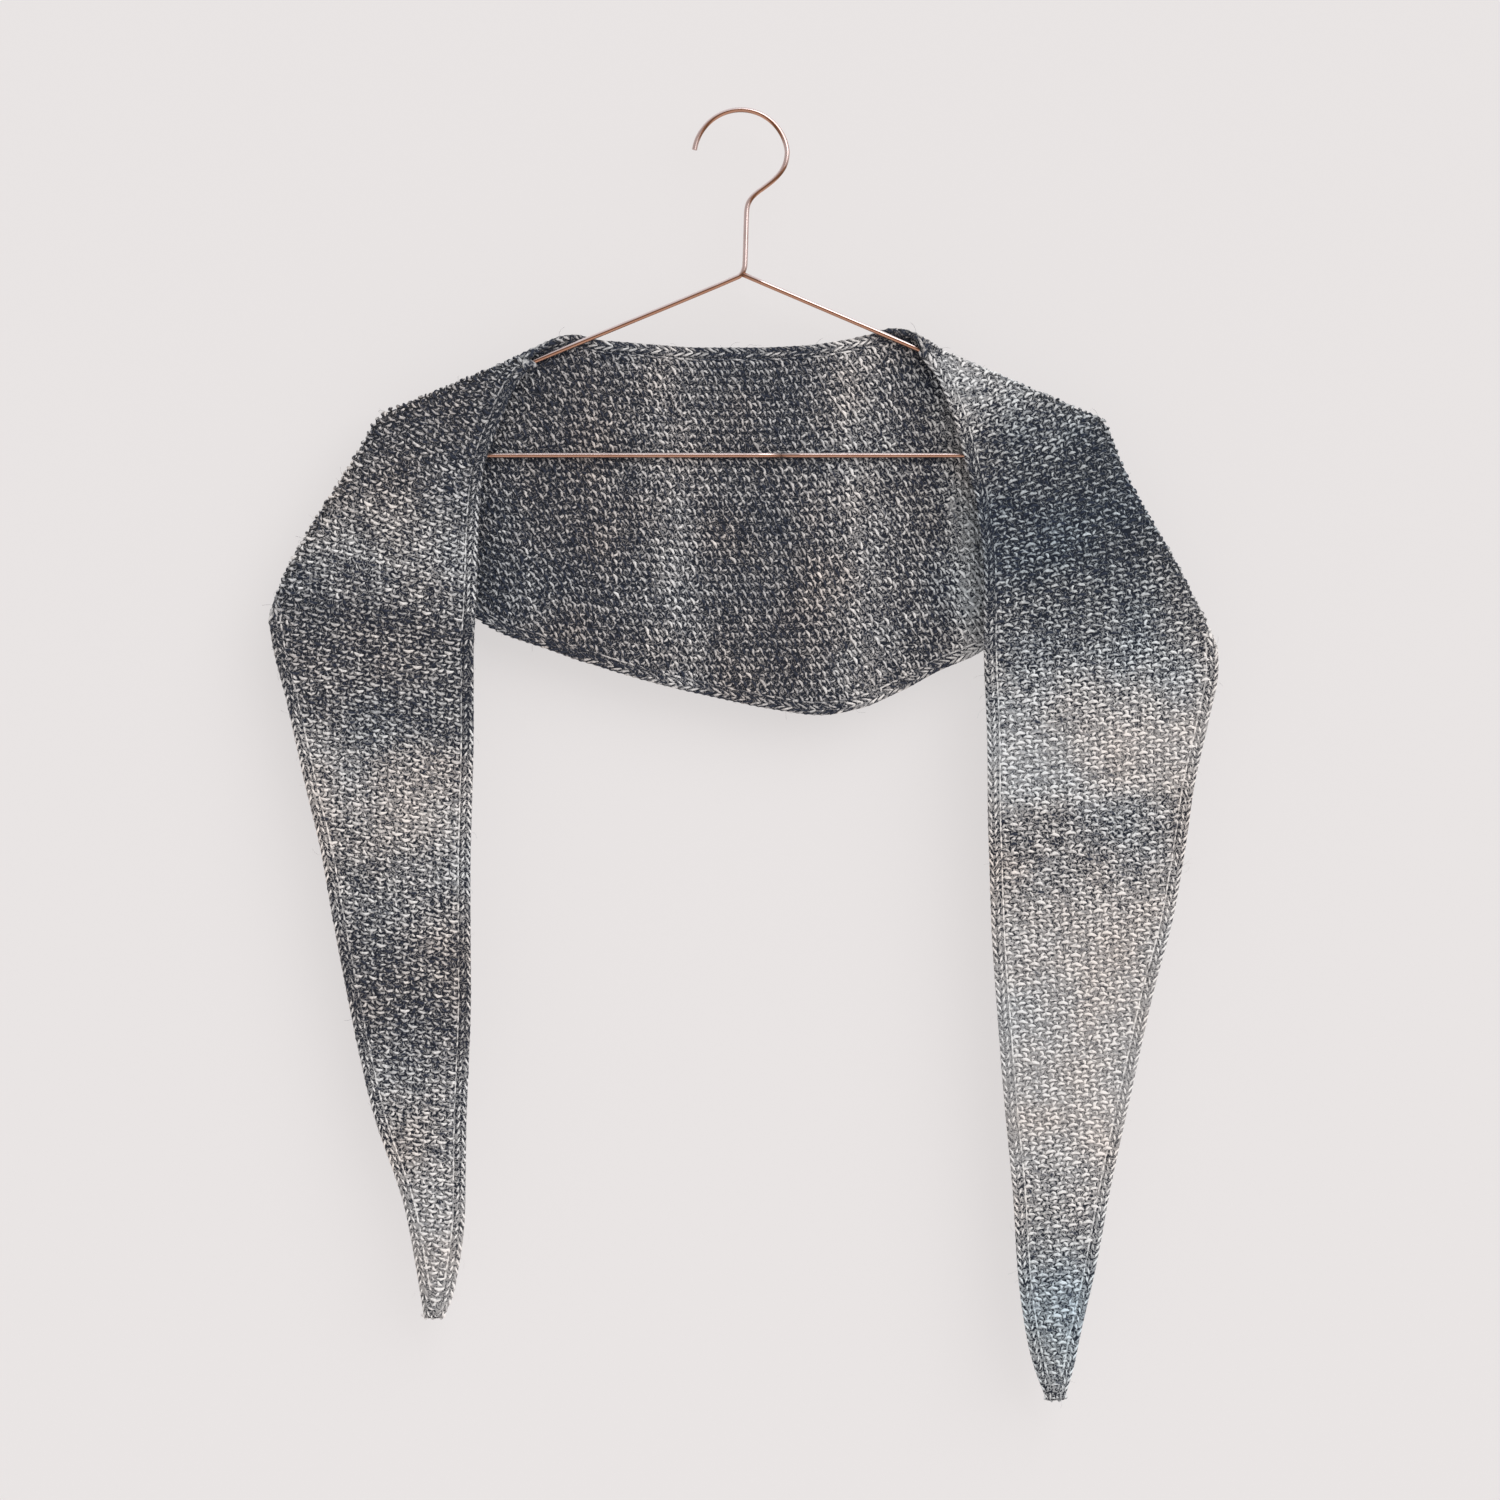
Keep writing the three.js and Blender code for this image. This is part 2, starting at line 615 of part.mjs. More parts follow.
function borders() {
  const half = SEAM_GAP / 2;
  return [
    ["left_tail_inner_edge", 0, LEFT_CROSSING - half, longEdgeColumns],
    ["back_top_edge", LEFT_CROSSING + half, RIGHT_CROSSING - half, longEdgeColumns],
    ["right_tail_inner_edge", RIGHT_CROSSING + half, LONG_EDGE, longEdgeColumns],
    ["left_tail_outer_edge", 0, LEFT_WIDEST - half, shortEdgeColumns],
    ["back_lower_edge", LEFT_WIDEST + half, RIGHT_WIDEST - half, shortEdgeColumns],
    ["right_tail_outer_edge", RIGHT_WIDEST + half, LONG_EDGE, shortEdgeColumns],
  ].map(([name, from, to, columnsOf]) => {
    return namedMesh(name, stretchOfCloth(from, to, columnsOf), knit(EDGE_COLOUR));
  });
}

const shawlOnHanger = new THREE.Group();
shawlOnHanger.add(namedMesh("hanger_wire", hangerGeometry(), copper()));
shawlOnHanger.add(...panels());
shawlOnHanger.add(...borders());

export default shawlOnHanger;
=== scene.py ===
"""Triangle shawl knitted in marled moss stitch, folded over a copper-coloured wire hanger.

The cloth is worked out in millimetres, as the solids are, and becomes metres where a mesh is
made. +Z is up and the front looks towards -Y. Each knitted row starts on the long edge, which
runs up the inner side of the left tail, along the top of the back and down the inner side of
the right tail, and ends on one of the two short edges. "along" is the distance of a row from
the left tip, measured on the long edge.
"""

import logging
import math
from dataclasses import dataclass
from enum import Enum
from typing import Any

import bpy
import numpy as np
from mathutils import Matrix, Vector


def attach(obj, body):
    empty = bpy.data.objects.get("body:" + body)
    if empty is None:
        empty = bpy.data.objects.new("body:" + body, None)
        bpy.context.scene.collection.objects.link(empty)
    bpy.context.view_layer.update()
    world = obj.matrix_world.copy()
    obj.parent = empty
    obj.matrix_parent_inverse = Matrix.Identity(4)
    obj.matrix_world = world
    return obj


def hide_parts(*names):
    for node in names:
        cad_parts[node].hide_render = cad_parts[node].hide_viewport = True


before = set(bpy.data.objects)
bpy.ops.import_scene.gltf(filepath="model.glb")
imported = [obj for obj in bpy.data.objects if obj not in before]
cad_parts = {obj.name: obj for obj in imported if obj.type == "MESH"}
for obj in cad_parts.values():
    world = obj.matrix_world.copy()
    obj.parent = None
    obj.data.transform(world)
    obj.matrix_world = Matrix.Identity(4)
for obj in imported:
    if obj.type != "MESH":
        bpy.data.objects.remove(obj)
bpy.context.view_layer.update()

log = logging.getLogger("shawl")

Socket = bpy.types.NodeSocket
Outputs = bpy.types.NodeOutputs
NodeTree = bpy.types.NodeTree
Material = bpy.types.Material
Piece = bpy.types.Object
Array = np.ndarray
Pair = tuple[float, float]
Triple = tuple[float, float, float]
Colour = tuple[float, float, float, float]
Section = dict[str, float]

MM = 0.001
BODY = "root"
SEED = 41
HALF_TURN = 180.0

LONG_EDGE = 1402.0

# Tails. edge is the long edge, out its reach to the front, outer the short edge,
# and depth how far the short edge lies in front of the wire.
TAIL_COLUMNS = ("along", "edgeX", "edgeZ", "out", "outerX", "outerZ", "depth")

LEFT_TAIL = (
    (0, -175.2, -694.3, 5.5, -185.6, -694.6, 5.5),
    (10, -170.6, -685.4, 6, -187.2, -686.0, 5.5),
    (22, -167.2, -673.0, 7, -189.4, -672.0, 5.5),
    (61, -162.2, -634.0, 9, -197.2, -631.0, 5),
    (113, -161.4, -583.0, 9.5, -215.0, -577.6, 4.5),
    (148, -160.0, -548.0, 9, -223.6, -541.5, 4.5),
    (188, -158.8, -508.0, 8.5, -232.0, -499.3, 5),
    (223, -159.0, -473.0, 9, -239.0, -462.0, 5.5),
    (257, -159.0, -439.0, 10, -245.2, -426.4, 5.5),
    (298, -158.0, -398.0, 11, -255.3, -383.8, 5),
    (340, -157.0, -356.0, 12, -265.2, -339.5, 4.5),
    (376, -157.0, -320.0, 12.5, -273.8, -303.6, 4.5),
)

# Distances of these rows are from the right tip.
RIGHT_TAIL = (
    (0, 172.4, -742.0, 5.5, 182.6, -741.6, 5.5),
    (15, 165.6, -724.4, 6.5, 188.2, -722.4, 5.5),
    (31, 161.6, -709.4, 7.5, 191.5, -706.0, 5.5),
    (72, 155.8, -669.0, 9, 201.1, -664.1, 5),
    (118, 152.9, -622.9, 9.5, 210.0, -616.3, 4.5),
    (167, 148.3, -574.4, 9, 221.0, -566.0, 4.5),
    (223, 143.9, -518.4, 8.5, 233.8, -508.0, 5),
    (266, 140.9, -475.7, 9, 245.2, -464.6, 5.5),
    (307, 139.4, -434.8, 10, 252.6, -422.2, 5.5),
    (338, 138.4, -403.6, 11, 257.3, -389.5, 5),
    (376, 138.0, -365.0, 12, 266.0, -350.0, 4.5),
    (405, 136.9, -336.4, 12.5, 271.4, -320.4, 4.5),
)

# Shoulders. turn is where the cloth folds from the front to the back, radius the fold's,
# hem the short edge, and start and end the part of the half turn that the row takes, in degrees.
SHOULDER_COLUMNS = (
    "along", "edgeX", "edgeZ", "out", "turnX", "turnZ", "radius", "hemX", "hemZ", "start", "end",
)

LEFT_SHOULDER = (
    (385, -157.0, -311.0, 12.5, -275.0, -292.8, 4.5, -270.0, -299.0, 0, 50),
    (392, -156.7, -304.0, 12.5, -271.8, -283.8, 4.5, -266.5, -290.5, 0, 110),
    (398, -156.4, -298.0, 13, -269.8, -276.1, 4.5, -265.0, -281.8, 0, 180),
    (408, -155.8, -288.0, 13, -264.8, -264.1, 4.5, -256.5, -274.5, 0, 180),
    (420, -155.4, -276.0, 13, -257.8, -251.1, 4.5, -243.5, -269.5, 0, 180),
    (430, -155.0, -266.0, 13, -251.5, -240.1, 4.5, -231.5, -266.0, 0, 180),
    (455, -154.3, -241.0, 13, -234.5, -213.7, 4.3, -206.5, -262.0, 0, 180),
    (479, -152.6, -216.5, 12.5, -218.5, -186.9, 4, -187.5, -263.0, 0, 180),
    (487, -151.6, -208.6, 12, -213.3, -177.5, 3.8, -180.5, -266.5, 0, 180),
    (492, -150.6, -204.0, 11.5, -207.0, -172.9, 3.8, -175.5, -269.5, 0, 180),
    (498, -149.2, -198.5, 11, -198.8, -169.7, 3.8, -170.0, -276.0, 0, 180),
    (520, -141.2, -178.0, 9, -173.8, -159.4, 3.8, -151.5, -295.0, 0, 180),
    (536, -135.0, -162.7, 7.5, -155.9, -152.0, 3.8, -138.0, -302.0, 0, 180),
    (556, -124.0, -145.8, 5, -134.4, -142.9, 4.3, -119.5, -308.2, 0, 180),
    (569, -118.0, -135.6, 4.5, -118.0, -135.2, 4.5, -107.5, -312.4, 60, 180),
    (581, -105.0, -129.6, 4.5, -105.0, -129.4, 4.5, -97.0, -316.3, 100, 180),
)

# Distances of these rows are from the right tip.
RIGHT_SHOULDER = (
    (413, 136.5, -328.4, 12.5, 270.9, -311.4, 4.5, 267.0, -318.0, 0, 50),
    (421, 136.3, -320.4, 12.5, 266.8, -301.4, 4.5, 263.0, -307.0, 0, 110),
    (426, 136.1, -315.4, 13, 265.1, -296.1, 4.5, 260.6, -301.8, 0, 180),
    (430, 136.0, -311.4, 13, 263.0, -291.1, 4.5, 256.1, -299.7, 0, 180),
    (440, 135.9, -301.4, 13, 256.7, -279.6, 4.5, 245.0, -295.0, 0, 180),
    (450, 136.0, -291.3, 13, 250.8, -267.6, 4.5, 234.6, -290.4, 0, 180),
    (476, 135.9, -265.3, 13, 233.8, -237.9, 4.3, 210.5, -283.0, 0, 180),
    (500, 133.8, -241.0, 12.5, 218.6, -210.6, 4.1, 194.5, -276.5, 0, 180),
    (516, 131.8, -225.3, 12, 209.7, -188.8, 3.8, 186.0, -274.5, 0, 180),
    (526, 129.4, -215.7, 12, 205.0, -178.3, 3.8, 180.5, -276.0, 0, 180),
    (535, 127.0, -207.0, 11.5, 195.0, -173.6, 3.8, 174.0, -279.5, 0, 180),
    (549, 123.4, -193.9, 10.5, 177.8, -166.3, 3.8, 164.0, -289.0, 0, 180),
    (570, 117.7, -173.7, 8.5, 152.1, -155.3, 4.0, 148.0, -302.5, 0, 180),
    (592, 109.1, -153.2, 6.5, 126.4, -144.2, 4.2, 130.4, -314.0, 0, 180),
    (601, 103.4, -145.6, 5.5, 111.4, -137.4, 4.4, 122.0, -317.6, 0, 180),
    (607, 100.6, -140.4, 4.5, 104.7, -133.7, 4.5, 117.0, -319.6, 0, 180),
    (614, 98.0, -130.7, 4.5, 98.0, -129.6, 4.5, 111.0, -322.2, 55, 180),
    (625, 87.7, -125.6, 4.5, 87.7, -125.4, 4.5, 102.0, -327.0, 100, 180),
)

# Back panel: its top edge, the fold's radius there, its lower edge and the turn it takes.
BACK_COLUMNS = ("along", "turnX", "turnZ", "radius", "hemX", "hemZ", "start")

BACK = (
    (591, -95.6, -126.3, 4.5, -88.5, -318.7, 150),
    (604, -83.0, -126.9, 4.5, -76, -322.7, 180),
    (630, -57.4, -129.1, 4.3, -49, -330.4, 180),
    (661, -26.5, -131.3, 4.2, -17, -337.8, 180),
    (691, 3.5, -131.3, 4.2, 14, -344.2, 180),
    (720, 32.9, -130.1, 4.2, 43, -347.8, 180),
    (744, 56.6, -126.7, 4.3, 67, -343.5, 180),
    (758, 70.2, -123.5, 4.5, 84.5, -336, 180),
    (767, 78.6, -122.9, 4.5, 93, -332, 150),
)

TURNED_UNDER = Vector((10.0, -8.0))

# Self-striping yarn: how much of its light ply shows in the rows knitted there, from 0 to 1.
STRIPE_COLUMNS = ("along", "light")

STRIPES = (
    (0, 0.72), (28, 0.82), (108, 0.51), (145, 0.47), (165, 0.33), (195, 0.29), (225, 0.45),
    (292, 0.6), (318, 0.54), (345, 0.32), (392, 0.28), (422, 0.5), (438, 0.48), (505, 0.14),
    (528, 0.12), (552, 0.25), (570, 0.14), (612, 0.26), (640, 0.45), (670, 0.24), (710, 0.23),
    (747, 0.5), (770, 0.3), (795, 0.26), (808, 0.74), (825, 0.64), (850, 0.42), (885, 0.2),
    (930, 0.17), (960, 0.38), (980, 0.47), (1035, 0.81), (1062, 0.7), (1080, 0.52), (1142, 0.78),
    (1245, 0.88), (1275, 0.72), (1335, 0.58), (1350, 0.67), (1402, 0.62),
)

# Where the yarn is bluer: the middle of each patch as the shawl hangs, and its reach, in metres.
BLUE_PATCHES = (
    ((0.2, 0.0, -0.23), 0.14),
    ((0.18, 0.0, -0.7), 0.09),
)


class Side(Enum):
    """The two faces of the cloth. The value is the direction along the cloth's normal."""

    OUTER = 1.0
    INNER = -1.0


class Border(Enum):
    """The edges of the shawl that carry a braid."""

    LONG = "long_edge"
    SHORT = "short_edge"


def named_rows(columns: tuple[str, ...], rows: tuple[tuple[float, ...], ...]) -> list[Section]:
    """Give each number of a table the name of its column.

    Args:
        columns: The names of the columns.
        rows: The rows of the table.

    Returns:
        One dictionary for each row.
    """
    return [dict(zip(columns, row, strict=True)) for row in rows]


def tail_section(tail: Section, side: int) -> Section:
    """Describe a row of a tail with the columns that every section has.

    Args:
        tail: A row of a tail's table.
        side: 1 for the left tail, -1 for the right one.

    Returns:
        The section.
    """
    return tail | {
        "turnX": tail["outerX"],
        "turnZ": tail["outerZ"],
        "radius": tail["depth"],
        "hemX": tail["outerX"] + side * TURNED_UNDER.x,
        "hemZ": tail["outerZ"] + TURNED_UNDER.y,
        "start": 0.0,
        "end": 0.0,
    }


def back_section(back: Section) -> Section:
    """Describe a row of the back, which starts on the top of the back and takes no front."""
    top = {"edgeX": back["turnX"], "edgeZ": back["turnZ"], "out": back["radius"], "end": HALF_TURN}
    return back | top


def from_right_tip(section: Section) -> Section:
    """Measure a section of the right side from the left tip."""
    return section | {"along": LONG_EDGE - section["along"]}


def cloth_sections() -> list[Section]:
    """List the sections of the whole shawl from the left tip to the right one."""
    left_tail = [tail_section(row, 1) for row in named_rows(TAIL_COLUMNS, LEFT_TAIL)]
    left_shoulder = named_rows(SHOULDER_COLUMNS, LEFT_SHOULDER)
    back = [back_section(row) for row in named_rows(BACK_COLUMNS, BACK)]
    right_shoulder = [from_right_tip(row) for row in named_rows(SHOULDER_COLUMNS, RIGHT_SHOULDER)]
    right_tail = [from_right_tip(tail_section(row, -1)) for row in named_rows(TAIL_COLUMNS, RIGHT_TAIL)]
    return left_tail + left_shoulder + back + right_shoulder[::-1] + right_tail[::-1]


class SmoothTable:
    """Sections of the cloth, joined by curves that never run past them."""

    def __init__(self, sections: list[Section]) -> None:
        """Work out the slopes of every column at every section."""
        self.names = SHOULDER_COLUMNS[1:]
        self.along = np.array([section["along"] for section in sections], float)
        self.values = np.array([[section[name] for name in self.names] for section in sections], float)
        self.slopes = self._slopes()

    def _slopes(self) -> Array:
        """Return the harmonic mean of the slopes on both sides, or 0 at a peak."""
        steps = np.diff(self.values, axis=0) / np.diff(self.along)[:, None]
        before = np.vstack([steps[:1], steps])
        after = np.vstack([steps, steps[-1:]])
        product = before * after
        total = np.where(product > 0, before + after, 1.0)
        return np.where(product > 0, 2 * product / total, 0.0)

    def at(self, along: float) -> Section:
        """Return every column at a distance along the long edge."""
        i = int(np.clip(np.searchsorted(self.along, along, side="right") - 1, 0, len(self.along) - 2))
        span = self.along[i + 1] - self.along[i]
        t = float(np.clip((along - self.along[i]) / span, 0, 1))
        rise = (3 - 2 * t) * t * t
        lead = t * (1 - t) ** 2 * span * self.slopes[i]
        trail = t * t * (1 - t) * span * self.slopes[i + 1]
        here = self.values[i] + (self.values[i + 1] - self.values[i]) * rise + lead - trail
        return dict(zip(self.names, here.tolist(), strict=True))


@dataclass(frozen=True)
class Row:
    """One knitted row, as points from the long edge to the short edge and its length up to each."""

    points: Array
    lengths: Array

    @property
    def length(self) -> float:
        """The length of the row."""
        return float(self.lengths[-1])

    def place(self, distances: Array) -> Array:
        """Return the points at these distances from the long edge."""
        axes = [np.interp(distances, self.lengths, self.points[:, axis]) for axis in range(3)]
        return np.stack(axes, axis=-1)


@dataclass(frozen=True)
class Patch:
    """Places on the cloth, with the way each row runs there and the way out of the cloth."""

    places: Array
    across: Array
    out: Array


@dataclass
class ShawlShape:
    """The cloth's middle surface as it hangs."""

    run_points: int = 16
    turn_points: int = 14
    front_bulge: float = 3.0
    back_lie: float = 5.0
    slope_step: float = 0.8

    def __post_init__(self) -> None:
        """Join the sections of the cloth."""
        self.table = SmoothTable(cloth_sections())

    def outward(self, along: float) -> Array:
        """Return the way out of a fold, square to its line, as seen from the front."""
        before = self.table.at(max(along - self.slope_step, 0))
        after = self.table.at(min(along + self.slope_step, LONG_EDGE))
        run = np.array([after["turnX"] - before["turnX"], after["turnZ"] - before["turnZ"]])
        run /= np.linalg.norm(run)
        return np.array([-run[1], run[0]])

    def straight(self, start: Array, end: Array, depths: Pair, bulge: float) -> Array:
        """Lay a straight part of a row.

        Args:
            start: Where it starts, seen from the front.
            end: Where it ends, seen from the front.
            depths: How far behind the wire both ends lie.
            bulge: How much further back its middle lies.

        Returns:
            One point in each row.
        """
        share = np.linspace(0, 1, self.run_points)
        flat = start + (end - start) * share[:, None]
        depth = depths[0] + (depths[1] - depths[0]) * share + bulge * np.sin(np.pi * share) ** 2
        return np.column_stack([flat[:, 0], depth, flat[:, 1]])

    def fold(self, section: Section, front: Array, back: Array, outward: Array) -> Array:
        """Lay the part of a row that turns over a fold.

        Args:
            section: The section of the cloth there.
            front: Where a whole half turn would start, seen from the front.
            back: Where it would end.
            outward: The way out of the fold.

        Returns:
            One point in each row.
        """
        degrees = np.linspace(section["start"], section["end"], self.turn_points)
        angle = np.radians(degrees)[:, None]
        radius = section["radius"]
        base = front + (back - front) * (degrees / HALF_TURN)[:, None] + outward * radius * np.sin(angle)
        return np.column_stack([base[:, 0], -radius * np.cos(angle[:, 0]), base[:, 1]])

    def row(self, along: float) -> Row:
        """Lay out one knitted row.

        Args:
            along: The row's distance from the left tip.

        Returns:
            The row, as a straight front, a part of a half turn and a straight back.
        """
        section = self.table.at(along)
        outward = self.outward(along)
        turn, edge, hem = (
            np.array([section[place + "X"], section[place + "Z"]]) for place in ("turn", "edge", "hem")
        )
        radius = section["radius"]
        depth = radius * math.sin(math.radians(min(section["end"], HALF_TURN / 2)))
        leave = (hem - turn) / np.linalg.norm(hem - turn)
        back = turn - leave * depth / leave.dot(outward)
        if section["start"] > 0:
            front = 2 * (turn - outward * depth) - back
            bend = self.fold(section, front, back, outward)
            front_run = np.repeat(bend[:1], self.run_points, axis=0)
        else:
            reach = (turn - edge) / np.linalg.norm(turn - edge)
            front = turn - reach * depth / reach.dot(outward)
            bend = self.fold(section, front, back, outward)
            front_run = self.straight(edge, front, (-section["out"], -radius), -self.front_bulge)
        if section["end"] < HALF_TURN:
            back_run = np.repeat(bend[-1:], self.run_points, axis=0)
        else:
            back_run = self.straight(back, hem, (radius, self.back_lie), 0.0)
        points = np.vstack([front_run, bend, back_run])
        steps = np.linalg.norm(np.diff(points, axis=0), axis=1)
        return Row(points, np.concatenate([[0.0], np.cumsum(steps)]))

    def patch(self, along: float, distances: Array) -> Patch:
        """Find places on one row and the ways of the cloth there.

        Args:
            along: The row's distance from the left tip.
            distances: The places' distances from the long edge.

        Returns:
            The places, the way of the row and the way out of the front of the cloth.
        """
        row = self.row(along)
        before = self.row(max(along - self.slope_step, 0))
        after = self.row(min(along + self.slope_step, LONG_EDGE))
        share = distances / row.length
        run = after.place(share * after.length) - before.place(share * before.length)
        across = row.place(distances + self.slope_step) - row.place(distances - self.slope_step)
        across /= np.linalg.norm(across, axis=1, keepdims=True)
        out = np.cross(run, across)
        out /= np.linalg.norm(out, axis=1, keepdims=True)
        return Patch(row.place(distances), across, out)


class Tree:
    """A node tree that is being put together."""

    def __init__(self, tree: NodeTree) -> None:
        """Start from an empty tree."""
        self.tree = tree
        self.tree.nodes.clear()

    def node(self, kind: str, inputs: dict[str, Any] | None = None, **settings: Any) -> bpy.types.Node:
        """Add a node.

        Args:
            kind: The node's type.
            inputs: Values, outputs or nodes for its inputs, by name or number.
            settings: The node's own settings.

        Returns:
            The node.
        """
        node = self.tree.nodes.new(kind)
        for name, value in settings.items():
            setattr(node, name, value)
        for name, value in (inputs or {}).items():
            self.feed(node.inputs[name], value)
        return node

    def feed(self, socket: Socket, value: Any) -> None:
        """Link an output, or a node's first output, to an input, or set the input's value."""
        if isinstance(value, bpy.types.Node):
            value = value.outputs[0]
        if isinstance(value, Socket):
            self.tree.links.new(value, socket)
        else:
            socket.default_value = value

    def math(self, operation: str, *values: Any) -> Socket:
        """Add a Math node and return its output."""
        return self.node("ShaderNodeMath", dict(enumerate(values)), operation=operation).outputs[0]

    def swing(self, share: Socket, reach: Any) -> Socket:
        """Turn a share from 0 to 1 into a number that swings about zero."""
        return self.math("MULTIPLY", self.math("SUBTRACT", share, 0.5), reach)

    def mix(self, factor: Any, first: Any, second: Any, blend: str = "MIX") -> Socket:
        """Add a Mix node for colours and return its output."""
        node = self.node("ShaderNodeMix", data_type="RGBA", blend_type=blend)
        self.feed(node.inputs["Factor"], factor)
        self.feed(node.inputs[6], first)
        self.feed(node.inputs[7], second)
        return node.outputs[2]

    def spread(self, value: Socket, start: Pair = (0.0, 1.0), end: Pair = (0.0, 1.0),
               curve: str = "LINEAR") -> Socket:
        """Add a Map Range node, which maps a number from one range to another.

        Args:
            value: The number.
            start: The range that it comes from.
            end: The range that it goes to.
            curve: The kind of interpolation.

        Returns:
            The mapped number.
        """
        ends = {"From Min": start[0], "From Max": start[1], "To Min": end[0], "To Max": end[1]}
        node = self.node("ShaderNodeMapRange", {"Value": value} | ends, interpolation_type=curve)
        return node.outputs[0]

    def noise(self, place: Socket, scale: float, detail: float) -> Socket:
        """Add a Noise Texture node and return its value."""
        inputs = {"Vector": place, "Scale": scale, "Detail": detail}
        return self.node("ShaderNodeTexNoise", inputs).outputs[0]

    def attribute(self, name: str) -> Socket:
        """Add an Attribute node and return its number."""
        return self.node("ShaderNodeAttribute", attribute_name=name).outputs["Fac"]

    def socket(self, name: str, kind: str, incoming: bool, default: Any = None) -> None:
        """Add a named input or output to a group."""
        way = "INPUT" if incoming else "OUTPUT"
        made = self.tree.interface.new_socket(name=name, in_out=way, socket_type=f"NodeSocket{kind}")
        if default is not None:
            made.default_value = default


def new_material(name: str) -> tuple[Material, Tree]:
    """Start a material and its empty node tree."""
    material = bpy.data.materials.new(name)
    material.use_nodes = True
    return material, Tree(material.node_tree)


def colour(red: float, green: float, blue: float) -> Colour:
    """Return a screen colour, given from 0 to 1, as the linear colour that a shader takes."""
    linear = [c / 12.92 if c <= 0.04045 else ((c + 0.055) / 1.055) ** 2.4 for c in (red, green, blue)]
    return (linear[0], linear[1], linear[2], 1.0)


@dataclass(frozen=True)
class MarledYarn:
    """Two-ply yarn: how its plies turn round each other, and how its tint varies. The light ply is turned
    to the outward side of each arc, partly real marl and partly a painted highlight.
    """

    swirl_scale: float = 330.0
    swirl_detail: float = 1.0
    speck_scale: float = 1100.0
    cloud_scale: float = 17.0
    fine_detail: float = 2.0
    turn_by_length: float = 0.8
    turn_by_stitch: float = 0.75
    highlight_turn: float = 0.2
    dark_lead: float = 0.1
    speck_share: float = 0.8
    ply_share: float = 0.5
    cloud_ends: Pair = (0.3, 0.7)

    def blue_share(self, tree: Tree, place: Socket) -> Socket:
        """Add the nodes that find the bluer patches of yarn.

        Args:
            tree: The shader group.
            place: The place on the object.

        Returns:
            How blue the yarn is there, from 0 to 1.
        """
        flat = tree.node("ShaderNodeVectorMath", {0: place, 1: (1.0, 0.0, 1.0)}, operation="MULTIPLY")
        share = None
        for middle, reach in BLUE_PATCHES:
            away = tree.node("ShaderNodeVectorMath", {0: flat, 1: middle}, operation="DISTANCE").outputs
            near = tree.spread(away["Value"], (reach, 0.0), curve="SMOOTHSTEP")
            share = near if share is None else tree.math("MAXIMUM", share, near)
        return share

    def wave(self, tree: Tree, given: Outputs, place: Socket) -> Socket:
        """Add the nodes that turn the plies round the yarn.

        Args:
            tree: The shader group.
            given: What the group is given.
            place: The place on the object.

        Returns:
            A wave that is high on the light ply and low on the dark one.
        """
        uv = tree.node("ShaderNodeUVMap", uv_map="yarn")
        parts = tree.node("ShaderNodeSeparateXYZ", {0: uv}).outputs
        swirl = tree.noise(place, self.swirl_scale, self.swirl_detail)
        length = tree.swing(parts["Y"], self.turn_by_length)
        twist = tree.swing(given["Twist"], self.turn_by_stitch)
        wander = tree.swing(swirl, given["Wander"])
        turn = tree.math("ADD", tree.math("ADD", parts["X"], length), tree.math("ADD", twist, wander))
        # Turning back the phase puts the light ply on the outward side of each arc and the dark ply under
        # it: real marl, with a painted highlight on top and painted shade below.
        turn = tree.math("SUBTRACT", turn, self.highlight_turn)
        angle = tree.math("MULTIPLY", turn, 2 * math.pi)
        return tree.math("SUBTRACT", tree.math("SINE", angle), self.dark_lead)

    def group(self) -> NodeTree:
        """Build the shader group.

        Returns:
            A group that gives the yarn's colour, and the height of its twisted plies.
        """
        tree = Tree(bpy.data.node_groups.new("marled_yarn", "ShaderNodeTree"))
        for name in ("Light", "Twist", "Wander", "Sharpness"):
            tree.socket(name, "Float", True)
        for name in ("Dark Ply", "Light Ply", "Warm Tint", "Cool Tint", "Blue Tint"):
            tree.socket(name, "Color", True)
        tree.socket("Color", "Color", False)
        tree.socket("Height", "Float", False)
        given = tree.node("NodeGroupInput").outputs
        place = tree.node("ShaderNodeTexCoord").outputs["Object"]
        wave = self.wave(tree, given, place)
        speck = tree.swing(tree.noise(place, self.speck_scale, self.fine_detail), self.speck_share)
        border = tree.math("COSINE", tree.math("MULTIPLY", given["Light"], math.pi))
        ply = tree.math("MULTIPLY", tree.math("SUBTRACT", wave, border), given["Sharpness"])
        share = tree.math("ADD", tree.math("ADD", ply, 0.5), speck)
        share = tree.node("ShaderNodeClamp", {0: share})
        plies = tree.mix(share, given["Dark Ply"], given["Light Ply"])
        lean = tree.spread(tree.noise(place, self.cloud_scale, self.fine_detail), self.cloud_ends)
        tint = tree.mix(lean, given["Cool Tint"], given["Warm Tint"])
        tinted = tree.mix(1.0, plies, tint, "MULTIPLY")
        dyed = tree.mix(self.blue_share(tree, place), tinted, given["Blue Tint"], "MULTIPLY")
        height = tree.math("ADD", tree.math("MULTIPLY", wave, self.ply_share), speck)
        tree.node("NodeGroupOutput", {"Color": dyed, "Height": height})
        return tree.tree


